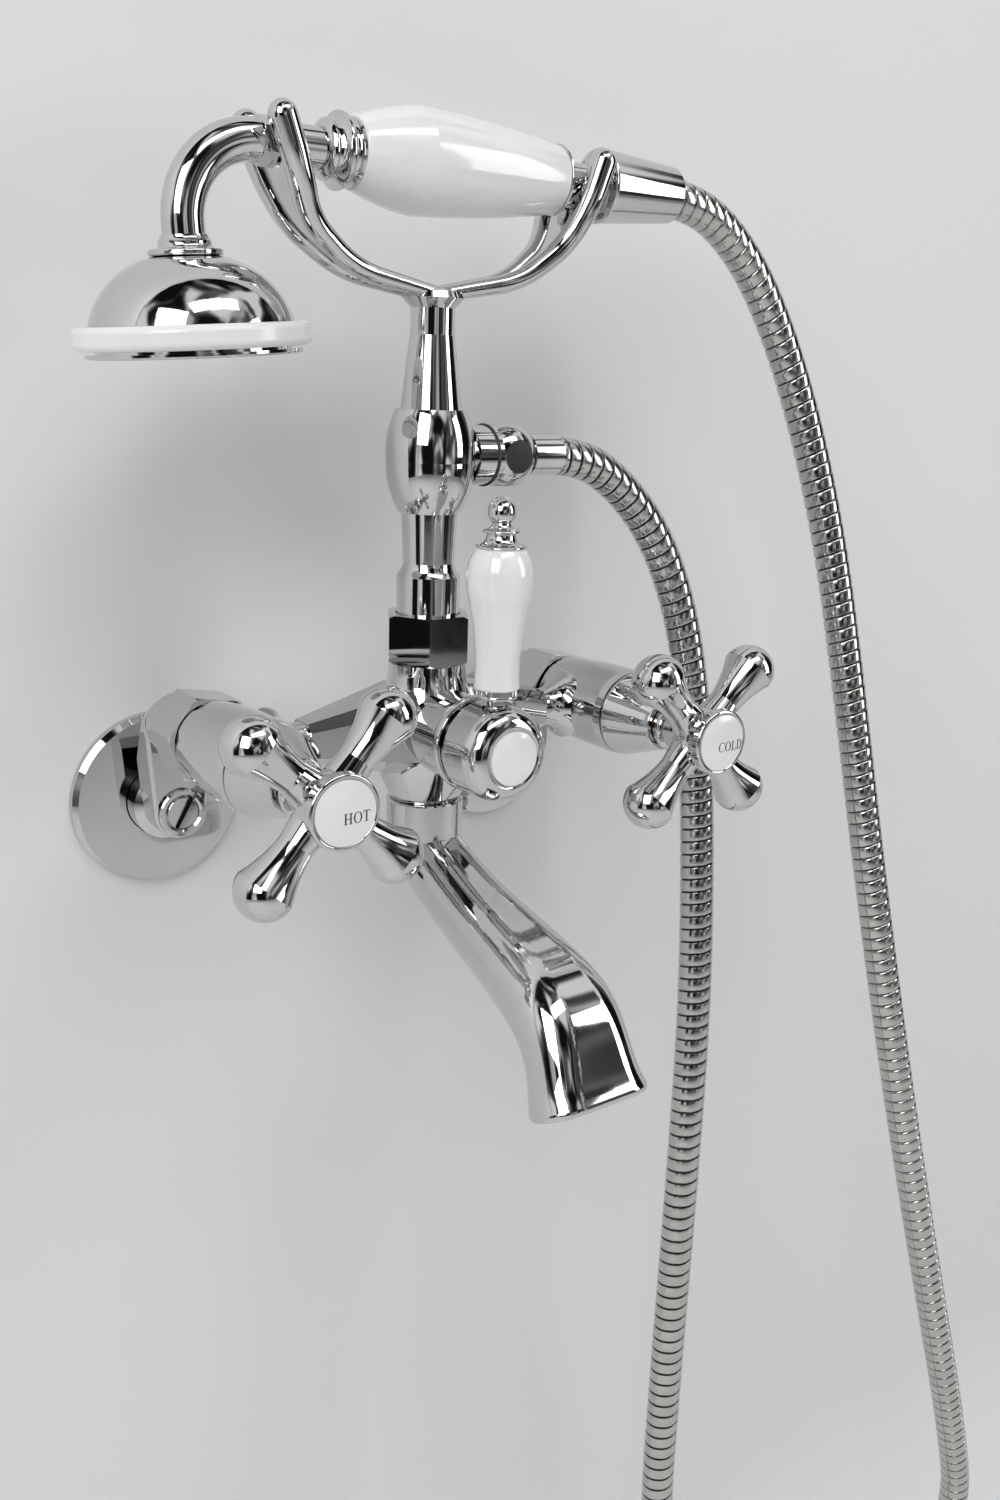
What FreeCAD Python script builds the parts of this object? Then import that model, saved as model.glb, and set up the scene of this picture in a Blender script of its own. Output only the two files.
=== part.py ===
import FreeCAD, Part
import math
import operator
import os
import Sketcher
from FreeCAD import Placement, Rotation, Vector

# Wall-mounted bath faucet: two swing arms carry a mixer body with hot and cold taps, a lever
# diverter, a swivelling spout and a column whose cradle holds a hand shower on a metal hose.
# The wall is the plane y = 0, the room is on the -Y side, +Z is up and cold is on the +X side.
# The origin lies on the wall, half way between the two water inlets. Lengths are millimetres.

SIZES = {
    # places of the main axes
    "half_spacing": 76.2,
    "valve_height": 33.8,
    "column_reach": 68.0,
    "handset_height": 222.0,
    "head_offset": 90.0,
    "head_tilt": 4.3,
    # clearances
    "thread_gap": 0.08,
    "seat_gap": 0.3,
    "turning_gap": 0.3,
    # wall flanges
    "flange_radius": 32.9,
    "flange_depth": 4.6,
    "flange_bevel": 1.8,
    "flange_skin": 1.6,
    # swing arms with their stop screws
    "inlet_radius": 10.48,
    "inlet_depth": 11.0,
    "arm_neck_radius": 13.2,
    "arm_front": 24.0,
    "arm_back": 12.0,
    "arm_foot_radius": 10.0,
    "arm_head_radius": 12.6,
    "arm_slope_height": 19.0,
    "arm_slope": 29.0,
    "union_bore_back": 29.0,
    "arm_edge": 1.5,
    "stop_ring_radius": 9.0,
    "stop_ring_depth": 5.0,
    "stop_ring_proud": 1.8,
    "stop_screw_radius": 6.2,
    "stop_screw_depth": 9.0,
    "stop_slot_width": 2.2,
    "stop_slot_depth": 1.6,
    "stop_slot_angle": 60.0,
    # union between arm and body
    "union_thread_radius": 12.2,
    "union_bore": 8.0,
    "spigot_end": 41.5,
    "washer_depth": 1.5,
    "tail_collar_depth": 3.2,
    "tail_radius": 10.4,
    "union_nut_back": 36.0,
    "union_nut_front": 53.3,
    "union_nut_radius": 16.6,
    "nut_chamfer": 1.0,
    "union_nut_turn": 50.0,
    # mixer body
    "barrel_back": 54.4,
    "barrel_back_radius": 14.6,
    "barrel_radius": 16.4,
    "barrel_swell": 84.0,
    "barrel_front": 94.0,
    "cartridge_bore": 11.6,
    "cartridge_seat": 72.0,
    "neck_start": 50.0,
    "neck_end": 62.0,
    "neck_end_radius": 13.2,
    "bar_root": 15.4,
    "bar_root_reach": 12.0,
    "bar_end": 7.0,
    "bar_flat": 0.62,
    "hub_belly": 19.0,
    "hub_belly_height": 27.0,
    "hub_top": 57.0,
    "hub_top_radius": 13.9,
    "hub_foot": 4.6,
    "hub_foot_radius": 11.4,
    "riser_thread_length": 11.0,
    "spout_thread_radius": 9.5,
    "spout_thread_length": 13.4,
    "spout_seal_height": 0.6,
    "spout_groove_height": -5.4,
    "spout_groove_depth": 1.4,
    "seal_thickness": 2.6,
    "water_bore": 6.0,
    "diverter_radius": 15.3,
    "diverter_front": 100.6,
    "diverter_lip": 16.9,
    "diverter_lip_depth": 3.4,
    "diverter_seat": 78.0,
    # taps
    "cartridge_neck": 7.4,
    "cartridge_front": 112.6,
    "spindle_radius": 3.9,
    "spindle_back": 86.0,
    "spindle_front": 129.0,
    "bonnet_back_radius": 15.7,
    "bonnet_front_radius": 9.7,
    "bonnet_front": 114.0,
    "bonnet_rim": 1.6,
    "bonnet_wall": 2.0,
    "handle_back": 114.6,
    "handle_neck_radius": 7.4,
    "handle_hub_radius": 10.4,
    "hot_turn": 49.0,
    "cold_turn": 44.0,
    "lobe_plane": 131.2,
    "lobe_reach": 40.6,
    "lobe_root_radius": 6.6,
    "lobe_waist": 5.7,
    "lobe_waist_reach": 15.5,
    "lobe_bulge": 9.5,
    "lobe_bulge_reach": 31.0,
    "handle_cup_front": 139.0,
    "handle_cup_radius": 10.9,
    "handle_cup_bore": 7.9,
    "handle_screw_radius": 1.9,
    "handle_screw_head": 3.5,
    "screw_dome": 0.8,
    "handle_screw_seat": 132.4,
    "handle_screw_length": 12.0,
    "index_ring_radius": 11.9,
    "index_ring_front": 142.6,
    "index_radius": 10.1,
    "index_front": 143.7,
    "index_dome": 0.9,
    # diverter
    "knob_back": 101.0,
    "knob_radius": 16.5,
    "knob_shoulder": 114.0,
    "knob_front": 121.6,
    "knob_face_radius": 10.6,
    "knob_cup_depth": 3.0,
    "diverter_disc_radius": 9.3,
    "diverter_disc_front": 123.0,
    "lever_offset": 9.7,
    "lever_stub_radius": 4.2,
    "lever_stub_top": 52.4,
    "lever_collar_radius": 6.9,
    "lever_collar_top": 55.6,
    "lever_rod_radius": 2.4,
    "grip_foot_radius": 7.8,
    "grip_waist_radius": 7.6,
    "grip_waist_height": 66.0,
    "grip_belly_radius": 11.0,
    "grip_belly_height": 94.0,
    "grip_top_radius": 8.0,
    "grip_top": 102.5,
    "finial_base_radius": 8.1,
    "finial_ring_radius": 5.8,
    "finial_neck_radius": 3.1,
    "finial_neck_height": 110.6,
    "finial_ball_radius": 4.7,
    "finial_top": 119.0,
    # column
    "riser_nut_radius": 16.0,
    "riser_nut_bottom": 57.3,
    "riser_nut_top": 74.6,
    "riser_lip": 3.0,
    "sleeve_radius": 11.2,
    "sleeve_top": 87.8,
    "column_neck_radius": 9.0,
    "column_neck_height": 92.4,
    "lower_cone_radius": 9.9,
    "bulge_bottom": 109.8,
    "bulge_bottom_radius": 10.9,
    "bulge_radius": 15.4,
    "bulge_height": 127.2,
    "bulge_top": 144.6,
    "bulge_top_radius": 12.2,
    "upper_cone_radius": 10.6,
    "cradle_drop": 53.3,
    "cradle_joint_radius": 7.7,
    "cradle_peg_radius": 5.0,
    "cradle_peg_length": 9.0,
    # hose outlet on the column
    "outlet_height": 129.0,
    "outlet_root": 10.0,
    "outlet_radius": 10.4,
    "outlet_front": 21.6,
    "outlet_spigot_radius": 8.0,
    "outlet_spigot_length": 5.0,
    "seal_depth": 1.1,
    "ball_radius": 12.1,
    "ball_centre": 30.6,
    "ball_flat": 10.6,
    "ball_front": 41.2,
    "ferrule_radius": 7.4,
    # cradle
    "stem_radius": 7.5,
    "stem_length": 9.7,
    "saddle_collar_height": 3.2,
    "saddle_collar_radius": 10.6,
    "saddle_reach": 33.0,
    "saddle_rise": 6.0,
    "knee_step": 17.2,
    "knee_rise": 13.0,
    "fork_step": 6.0,
    "fork_rise": 13.9,
    "tip_step": 5.0,
    "tip_rise": 13.3,
    "saddle_half_width": 4.6,
    "knee_half_width": 7.4,
    "fork_half_width": 12.0,
    "rib_radius": 2.3,
    "prong_radius": 4.6,
    "plate_thickness": 2.8,
    "grub_screw_radius": 1.5,
    # hand shower
    "elbow_radius": 6.35,
    "elbow_bore": 4.6,
    "elbow_spigot": 4.0,
    "elbow_nut_front": 64.2,
    "elbow_nut_back": 58.2,
    "elbow_nut_radius": 7.25,
    "stub_radius": 6.3,
    "front_ring_centre": 37.0,
    "front_ring_radius": 11.6,
    "front_bead_radius": 9.2,
    "grip_front": 31.4,
    "grip_front_radius": 10.4,
    "grip_radius": 16.7,
    "grip_widest": -9.0,
    "grip_back": 48.6,
    "grip_back_radius": 10.6,
    "grip_bore": 5.4,
    "tube_radius": 5.2,
    "tube_bore": 3.9,
    "dish_radius": 11.7,
    "dish_depth": 3.4,
    "trumpet_front": 52.1,
    "trumpet_radius": 6.6,
    "trumpet_back": 67.9,
    "hose_thread_radius": 10.48,
    "hose_thread_length": 9.0,
    "cone_nut_front": 68.0,
    "cone_nut_front_radius": 12.6,
    "cone_nut_back": 103.5,
    "cone_nut_back_radius": 9.6,
    "collar_top_drop": 28.6,
    "bell_collar_radius": 11.1,
    "collar_foot_drop": 34.4,
    "bell_top_radius": 9.8,
    "bell_radius": 30.6,
    "bell_foot_drop": 53.4,
    "bell_bulge": 4.0,
    "spray_ring_radius": 35.6,
    "spray_ring_drop": 60.4,
    "spray_ring_bore": 26.0,
    "face_radius": 32.4,
    "face_depth": 2.2,
    "face_slit": 0.8,
    "face_slit_depth": 3.0,
    "face_thread_radius": 25.4,
    "face_thread_length": 4.0,
    "nozzle_radius": 0.75,
    "nozzle_pitch": 8.0,
    # spout
    "spout_boss_radius": 14.1,
    "spout_boss_top": 6.2,
    "spout_boss_bottom": -15.3,
    "spout_wall": 2.4,
    "spout_roundness": 0.95,
    "spout_lip": 2.1,
    # hose
    "hose_radius": 7.0,
    "hose_bore": 4.2,
    "hose_end_radius": 6.0,
    "hose_end_length": 13.2,
    "hose_ribs": 120,
    "rib_depth": 0.7,
}

# The spout's way from its boss to its mouth, in the plane x = 0: each section's distance from the
# wall, height, half width, half depth and the slope of its run, in degrees below level.
SPOUT_MEASURES = ("reach", "height", "half_width", "half_depth", "slope")
SPOUT_SECTIONS = {
    "root": (68.0, -3.0, 11.8, 11.8, 82.0),
    "turn": (71.8, -13.4, 12.2, 11.8, 54.0),
    "neck": (82.0, -19.6, 12.9, 11.9, 27.0),
    "throat": (97.0, -25.9, 13.7, 12.2, 21.5),
    "waist": (112.0, -30.8, 14.8, 12.6, 19.0),
    "back": (127.0, -35.2, 16.0, 12.9, 19.5),
    "brow": (141.0, -39.8, 17.4, 13.1, 26.5),
    "bend": (153.0, -45.8, 18.4, 12.8, 42.0),
    "drop": (161.0, -55.4, 18.9, 11.9, 58.0),
    "cuff": (166.2, -66.4, 20.5, 11.7, 64.0),
    "mouth": (169.6, -72.4, 22.2, 12.6, 63.0),
}
for section, measures in SPOUT_SECTIONS.items():
    for measure, number in zip(SPOUT_MEASURES, measures):
        SIZES[f"spout_{section}_{measure}"] = number

doc = FreeCAD.newDocument("bath_faucet")
sheet = doc.addObject("Spreadsheet::Sheet", "sizes")
for row, (alias, number) in enumerate(SIZES.items(), start=1):
    sheet.set(f"A{row}", alias)
    sheet.set(f"B{row}", str(number))
    sheet.setAlias(f"B{row}", alias)
doc.recompute()

OPERATIONS = {"+": operator.add, "-": operator.sub, "*": operator.mul, "/": operator.truediv}


class Size:
    """A length of the model: its value and the sheet expression that gives it."""

    def __init__(self, value, text):
        self.value = value
        self.text = text

    def __add__(self, other):
        return combine(self, "+", other)

    def __radd__(self, other):
        return combine(other, "+", self)

    def __sub__(self, other):
        return combine(self, "-", other)

    def __rsub__(self, other):
        return combine(other, "-", self)

    def __mul__(self, other):
        return combine(self, "*", other)

    def __rmul__(self, other):
        return combine(other, "*", self)

    def __truediv__(self, other):
        return combine(self, "/", other)

    def __neg__(self):
        return combine(0, "-", self)


class SheetSizes:
    """Gives each named size of the sheet as an attribute."""

    def __getattr__(self, alias):
        return Size(float(getattr(sheet, alias)), f"sizes.{alias}")


def as_size(number):
    if isinstance(number, Size):
        return number
    return Size(float(number), f"({float(number)})")


def combine(first, sign, second):
    first = as_size(first)
    second = as_size(second)
    value = OPERATIONS[sign](first.value, second.value)
    return Size(value, f"({first.text} {sign} {second.text})")


def root(size):
    return Size(math.sqrt(size.value), f"sqrt({size.text})")


S = SheetSizes()
CRADLE_JOINT = S.handset_height - S.cradle_drop
UP = Rotation()
DOWN = Rotation(Vector(1, 0, 0), 180)
TO_ROOM = Rotation(Vector(1, 0, 0), 90)
TO_RIGHT = Rotation(Vector(0, 1, 0), 90)
TO_LEFT = Rotation(Vector(0, 1, 0), -90)
COLUMN = (0, -S.column_reach, 0)
HANDSET = (0, -S.column_reach, S.handset_height)
HEAD = (-S.head_offset, -S.column_reach, S.handset_height)
TO_HEAD = Rotation(Vector(0, 1, 0), -sheet.head_tilt)
SIDES = (("left", "hot", -1), ("right", "cold", 1))

nodes = []


def bind(thing, prop, size):
    """Tie one property to the sheet, or set it where it is a plain number."""
    if isinstance(size, Size):
        thing.setExpression(prop, size.text)


def place(thing, base, facing=UP):
    """Put an object at a base point, with its own Z axis turned to the facing direction."""
    x, y, z = (as_size(value) for value in base)
    thing.Placement = Placement(Vector(x.value, y.value, z.value), facing)
    for axis, value in zip("xyz", base):
        bind(thing, f"Placement.Base.{axis}", value)
    return thing


def node(name, thing):
    """Name a finished sub-part."""
    thing.Label = name
    nodes.append(thing)
    return thing


def plane_of(body, role):
    for feature in body.Origin.OriginFeatures:
        if feature.Role == role:
            return feature
    raise ValueError(role)


def sketch_on(body, name, role):
    sketch = body.newObject("Sketcher::SketchObject", name)
    sketch.AttachmentSupport = [(plane_of(body, role), "")]
    sketch.MapMode = "FlatFace"
    return sketch


def arc_between(start, end, bulge):
    """The arc that stands out by bulge on the right of the way, and whether it turns left."""
    chord = end - start
    half = chord.Length / 2
    height = abs(bulge)
    radius = (half * half + height * height) / (2 * height)
    side = 1 if bulge > 0 else -1
    left = Vector(-chord.y, chord.x, 0)
    left.normalize()
    centre = start + chord * 0.5 + left * (radius - height) * side
    first = math.atan2(start.y - centre.y, start.x - centre.x)
    last = math.atan2(end.y - centre.y, end.x - centre.x)
    if bulge < 0:
        first, last = last, first
    circle = Part.Circle(centre, Vector(0, 0, 1), radius)
    return Part.ArcOfCircle(circle, first, last), bulge > 0


def arc_centre(start, target):
    """The arc centre's coordinate along the axis that the chord crosses, as a size."""
    across = as_size(target[0]) - start[0]
    along = as_size(target[1]) - start[1]
    bulge = as_size(target[2])
    square = across * across + along * along
    share = (square / 4 - bulge * bulge) / (2 * bulge * root(square))
    if abs(across.value) > abs(along.value):
        return "y", (as_size(target[1]) + start[1]) / 2 + across * share
    return "x", (as_size(target[0]) + start[0]) / 2 - along * share


def cap_bulge(radius, height):
    """How far half a dome's profile stands out from its chord."""
    square = radius * radius + height * height
    ball = square / (2 * height)
    return ball - root(ball * ball - square / 4)


def draw(sketch, points):
    """Draw a closed outline, counter-clockwise. A third value makes the side that ends there an arc:
    it stands out by that much, or in where it is negative."""
    count = len(points)
    ends = []
    spots = [Vector(as_size(point[0]).value, as_size(point[1]).value, 0) for point in points]
    for index in range(count):
        target = (index + 1) % count
        point = points[target]
        if len(point) > 2:
            arc, leftward = arc_between(spots[index], spots[target], as_size(point[2]).value)
            sketch.addGeometry(arc, False)
            ends.append((1, 2) if leftward else (2, 1))
        else:
            sketch.addGeometry(Part.LineSegment(spots[index], spots[target]), False)
            ends.append((1, 2))
    for index in range(count):
        before = (index - 1) % count
        joint = Sketcher.Constraint("Coincident", before, ends[before][1], index, ends[index][0])
        sketch.addConstraint(joint)
        for kind, size in (("DistanceX", points[index][0]), ("DistanceY", points[index][1])):
            value = as_size(size).value
            which = sketch.addConstraint(Sketcher.Constraint(kind, index, ends[index][0], value))
            bind(sketch, f"Constraints[{which}]", size)
    for index in range(count):
        target = points[(index + 1) % count]
        if len(target) > 2:
            axis, centre = arc_centre(points[index], target)
            kind = "DistanceY" if axis == "y" else "DistanceX"
            which = sketch.addConstraint(Sketcher.Constraint(kind, -1, 1, index, 3, centre.value))
            bind(sketch, f"Constraints[{which}]", centre)


def turned(name, points, base=(0, 0, 0), facing=UP):
    """A turned piece: the outline holds (radius, distance along the axis) and is turned once round."""
    body = doc.addObject("PartDesign::Body", name)
    sketch = sketch_on(body, f"{name}_outline", "XZ_Plane")
    draw(sketch, points)
    turn = body.newObject("PartDesign::Revolution", f"{name}_turn")
    turn.Profile = sketch
    turn.ReferenceAxis = (sketch, ["V_Axis"])
    turn.Angle = 360
    sketch.Visibility = False
    place(body, base, facing)
    return body


def hexagonal(name, blank, radius, start, length, base, facing=UP, turn=0):
    """The turned blank of a nut, cut to six flats, which are turned about its axis by an angle."""
    prism = doc.addObject("Part::Prism", f"{name}_flats")
    prism.Polygon = 6
    bind(prism, "Circumradius", radius)
    bind(prism, "Height", length)
    place(prism, base, facing * Rotation(Vector(0, 0, 1), turn))
    shift = facing.multVec(Vector(0, 0, 1))
    for axis, part, origin in zip("xyz", shift, base):
        if abs(part) > 0.5:
            step = start if part > 0 else -as_size(start)
            bind(prism, f"Placement.Base.{axis}", as_size(origin) + step)
    nut = doc.addObject("Part::Common", name)
    nut.Base = blank
    nut.Tool = prism
    return nut


def fused(name, pieces):
    whole = doc.addObject("Part::MultiFuse", name)
    whole.Shapes = pieces
    return whole


def cut(name, base, tool):
    result = doc.addObject("Part::Cut", name)
    result.Base = base
    result.Tool = tool
    return result


def cylinder(name, radius, length, base, facing=UP):
    rod = doc.addObject("Part::Cylinder", name)
    bind(rod, "Radius", as_size(radius))
    bind(rod, "Height", as_size(length))
    return place(rod, base, facing)


def box(name, corner, sides):
    block = doc.addObject("Part::Box", name)
    for prop, size in zip(("Length", "Width", "Height"), sides):
        bind(block, prop, as_size(size))
    return place(block, corner)


def loft(name, outlines, ruled=False):
    """A solid through a row of closed outlines, each with its points, base point and facing."""
    sections = []
    for index, (points, base, facing) in enumerate(outlines):
        sketch = doc.addObject("Sketcher::SketchObject", f"{name}_section_{index}")
        draw(sketch, points)
        sections.append(place(sketch, base, facing))
    solid = doc.addObject("Part::Loft", name)
    solid.Sections = sections
    solid.Solid = True
    solid.Ruled = ruled
    return solid


def from_wall(side):
    """Base point of what is turned about an inlet's axis."""
    return (side * S.half_spacing, 0, 0)


def from_valve(side):
    """Base point of what is turned about a tap's axis, with distances taken from the wall."""
    return (side * S.half_spacing, 0, S.valve_height)


def wall_flange(name, side):
    hole = S.arm_neck_radius + S.seat_gap
    inner = S.flange_radius - S.flange_skin
    plate = turned(
        name,
        [
            (inner, 0),
            (S.flange_radius, 0),
            (S.flange_radius, S.flange_depth - S.flange_bevel),
            (S.flange_radius - S.flange_bevel, S.flange_depth),
            (hole, S.flange_depth),
            (hole, S.flange_depth - S.flange_skin),
            (inner, S.flange_depth - S.flange_skin),
        ],
        from_wall(side),
        TO_ROOM,
    )
    node(name, plate)


def swing_arm(name, side):
    hand = (side * S.half_spacing, -S.arm_back, 0)
    link = doc.addObject("PartDesign::Body", f"{name}_link")
    outline = sketch_on(link, f"{name}_link_outline", "XZ_Plane")
    draw(
        outline,
        [
            (-S.arm_foot_radius, 0),
            (S.arm_foot_radius, 0, S.arm_foot_radius),
            (S.arm_head_radius, S.valve_height),
            (-S.arm_head_radius, S.valve_height, S.arm_head_radius),
        ],
    )
    pad = link.newObject("PartDesign::Pad", f"{name}_link_pad")
    pad.Profile = outline
    bind(pad, "Length", S.arm_front - S.arm_back)
    doc.recompute()
    rim = [
        f"Edge{index}"
        for index, edge in enumerate(pad.Shape.Edges, start=1)
        if abs(edge.BoundBox.YMin + pad.Length.Value) < 0.01 and edge.BoundBox.YLength < 0.01
    ]
    rounding = link.newObject("PartDesign::Fillet", f"{name}_link_edge")
    rounding.Base = (pad, rim)
    bind(rounding, "Radius", S.arm_edge)
    place(link, hand)
    neck = turned(
        f"{name}_neck",
        [
            (0, 0.5 * S.seat_gap),
            (S.arm_neck_radius, 0.5 * S.seat_gap),
            (S.arm_neck_radius, S.arm_back),
            (S.arm_foot_radius - 0.5, S.arm_back + S.arm_edge),
            (0, S.arm_back + S.arm_edge),
        ],
        from_wall(side),
        TO_ROOM,
    )
    spigot = turned(
        f"{name}_spigot",
        [
            (0, S.arm_back),
            (S.union_thread_radius, S.arm_back),
            (S.union_thread_radius, S.spigot_end),
            (0, S.spigot_end),
        ],
        from_valve(side),
        TO_ROOM,
    )
    solid = fused(f"{name}_solid", [link, neck, spigot])
    socket = cylinder(f"{name}_socket", S.inlet_radius, S.inlet_depth, from_wall(side), TO_ROOM)
    outlet = cylinder(
        f"{name}_outlet",
        S.union_bore,
        S.spigot_end - S.union_bore_back,
        (side * S.half_spacing, -S.union_bore_back, S.valve_height),
        TO_ROOM,
    )
    slope = box(
        f"{name}_slope",
        (side * S.half_spacing - 2 * S.arm_head_radius, -S.arm_back, S.arm_slope_height),
        (4 * S.arm_head_radius, S.arm_front, 4 * S.arm_head_radius),
    )
    slope.Placement = Placement(slope.Placement.Base, Rotation(Vector(1, 0, 0), sheet.arm_slope))
    ring_seat = S.arm_front - S.stop_ring_depth + S.stop_ring_proud
    seat = cylinder(
        f"{name}_stop_seat",
        S.stop_ring_radius + S.thread_gap,
        S.stop_ring_depth,
        (side * S.half_spacing, -ring_seat, 0),
        TO_ROOM,
    )
    bore = cylinder(
        f"{name}_stop_bore",
        S.stop_screw_radius + S.thread_gap,
        S.stop_screw_depth,
        (side * S.half_spacing, -S.arm_front + S.stop_screw_depth, 0),
        TO_ROOM,
    )
    holes = fused(f"{name}_holes", [socket, outlet, seat, bore, slope])
    node(name, cut(name, solid, holes))


def stop_ring(name, side):
    start = S.arm_front - S.stop_ring_depth + S.stop_ring_proud
    end = S.arm_front + S.stop_ring_proud
    bore = S.stop_screw_radius + S.thread_gap
    ring = turned(
        name,
        [
            (bore, start),
            (S.stop_ring_radius, start),
            (S.stop_ring_radius, end - 0.5),
            (S.stop_ring_radius - 0.5, end),
            (bore + 0.8, end),
            (bore, end - 0.8),
        ],
        from_wall(side),
        TO_ROOM,
    )
    node(name, ring)


def stop_screw(name, side):
    front = S.arm_front + S.stop_ring_proud - 0.5
    back = S.arm_front - S.stop_screw_depth + S.turning_gap
    blank = turned(
        f"{name}_blank",
        [(0, back), (S.stop_screw_radius - 0.8, back), (S.stop_screw_radius, back + 0.8),
         (S.stop_screw_radius, front - 0.5), (S.stop_screw_radius - 0.5, front), (0, front)],
        from_wall(side),
        TO_ROOM,
    )
    reach = S.stop_screw_radius + 1
    slot = box(
        f"{name}_slot",
        (side * S.half_spacing, -front - 1, 0),
        (2 * reach, S.stop_slot_depth + 1, S.stop_slot_width),
    )
    lean = math.radians(sheet.stop_slot_angle)
    half = S.stop_slot_width / 2
    slot.Placement = Placement(slot.Placement.Base, Rotation(Vector(0, 1, 0), -sheet.stop_slot_angle))
    bind(slot, "Placement.Base.x", side * S.half_spacing - reach * math.cos(lean) + half * math.sin(lean))
    bind(slot, "Placement.Base.z", -reach * math.sin(lean) - half * math.cos(lean))
    node(name, cut(name, blank, slot))


def union_nut(name, side):
    lip = S.spigot_end + S.washer_depth + S.tail_collar_depth + S.seat_gap
    outer = S.union_nut_radius
    bore = S.union_thread_radius + S.thread_gap
    collar = S.tail_radius + S.seat_gap
    blank = turned(
        f"{name}_blank",
        [
            (bore, S.union_nut_back),
            (outer - S.nut_chamfer, S.union_nut_back),
            (outer, S.union_nut_back + S.nut_chamfer),
            (outer, S.union_nut_front - S.nut_chamfer),
            (outer - S.nut_chamfer, S.union_nut_front),
            (collar, S.union_nut_front),
            (collar, lip),
            (bore, lip),
        ],
        from_valve(side),
        TO_ROOM,
    )
    length = S.union_nut_front - S.union_nut_back
    flats = hexagonal(
        name, blank, outer, S.union_nut_back, length, from_valve(side), TO_ROOM, sheet.union_nut_turn
    )
    node(name, flats)


def washer_at(name, bore, radius, start, depth, base, facing=UP):
    return turned(
        name,
        [(bore, start), (radius, start), (radius, start + depth), (bore, start + depth)],
        base,
        facing,
    )


def union_washers():
    rings = [
        washer_at(
            f"union_washer_{hand}",
            S.union_bore,
            S.union_thread_radius - S.seat_gap,
            S.spigot_end,
            S.washer_depth,
            from_valve(side),
            TO_ROOM,
        )
        for hand, _, side in SIDES
    ]
    pair = doc.addObject("Part::Compound", "union_washers")
    pair.Links = rings
    node("union_washers", pair)


def valve_barrel(name, side):
    """One end of the mixer body: the union tail and the barrel that holds a tap's cartridge."""
    tail = S.spigot_end + S.washer_depth
    return turned(
        name,
        [
            (S.union_bore, tail),
            (S.union_thread_radius - S.seat_gap, tail),
            (S.union_thread_radius - S.seat_gap, tail + S.tail_collar_depth),
            (S.tail_radius, tail + S.tail_collar_depth),
            (S.tail_radius, S.barrel_back),
            (S.barrel_back_radius - 1, S.barrel_back),
            (S.barrel_back_radius, S.barrel_back + 1),
            (S.barrel_radius, S.barrel_swell, 0.5),
            (S.barrel_radius, S.barrel_front - 3),
            (S.barrel_radius - 0.5, S.barrel_front),
            (S.cartridge_bore, S.barrel_front),
            (S.cartridge_bore, S.cartridge_seat),
            (S.union_bore, S.cartridge_seat),
        ],
        from_valve(side),
        TO_ROOM,
    )


def octagon(half, flat):
    side = half * flat
    return [
        (-side, -half), (side, -half), (half, -side), (half, side),
        (side, half), (-side, half), (-half, side), (-half, -side),
    ]


def body_bar(name, side, facing):
    """The tapered eight-sided bar between the hub and one barrel."""
    sections = [
        (octagon(half, S.bar_flat), (side * reach, -S.column_reach, S.valve_height), facing)
        for half, reach in ((S.bar_root, S.bar_root_reach), (S.bar_end, S.neck_start + 0.5))
    ]
    return loft(name, sections, ruled=True)


def side_neck(name, facing):
    """The round flare where the bar runs out into a barrel."""
    return turned(
        name,
        [
            (0, S.neck_start),
            (S.bar_end, S.neck_start),
            (S.neck_end_radius, S.neck_end, -2.2),
            (S.neck_end_radius, S.neck_end + 1.4),
            (0, S.neck_end + 1.4),
        ],
        (0, -S.column_reach, S.valve_height),
        facing,
    )


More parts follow.
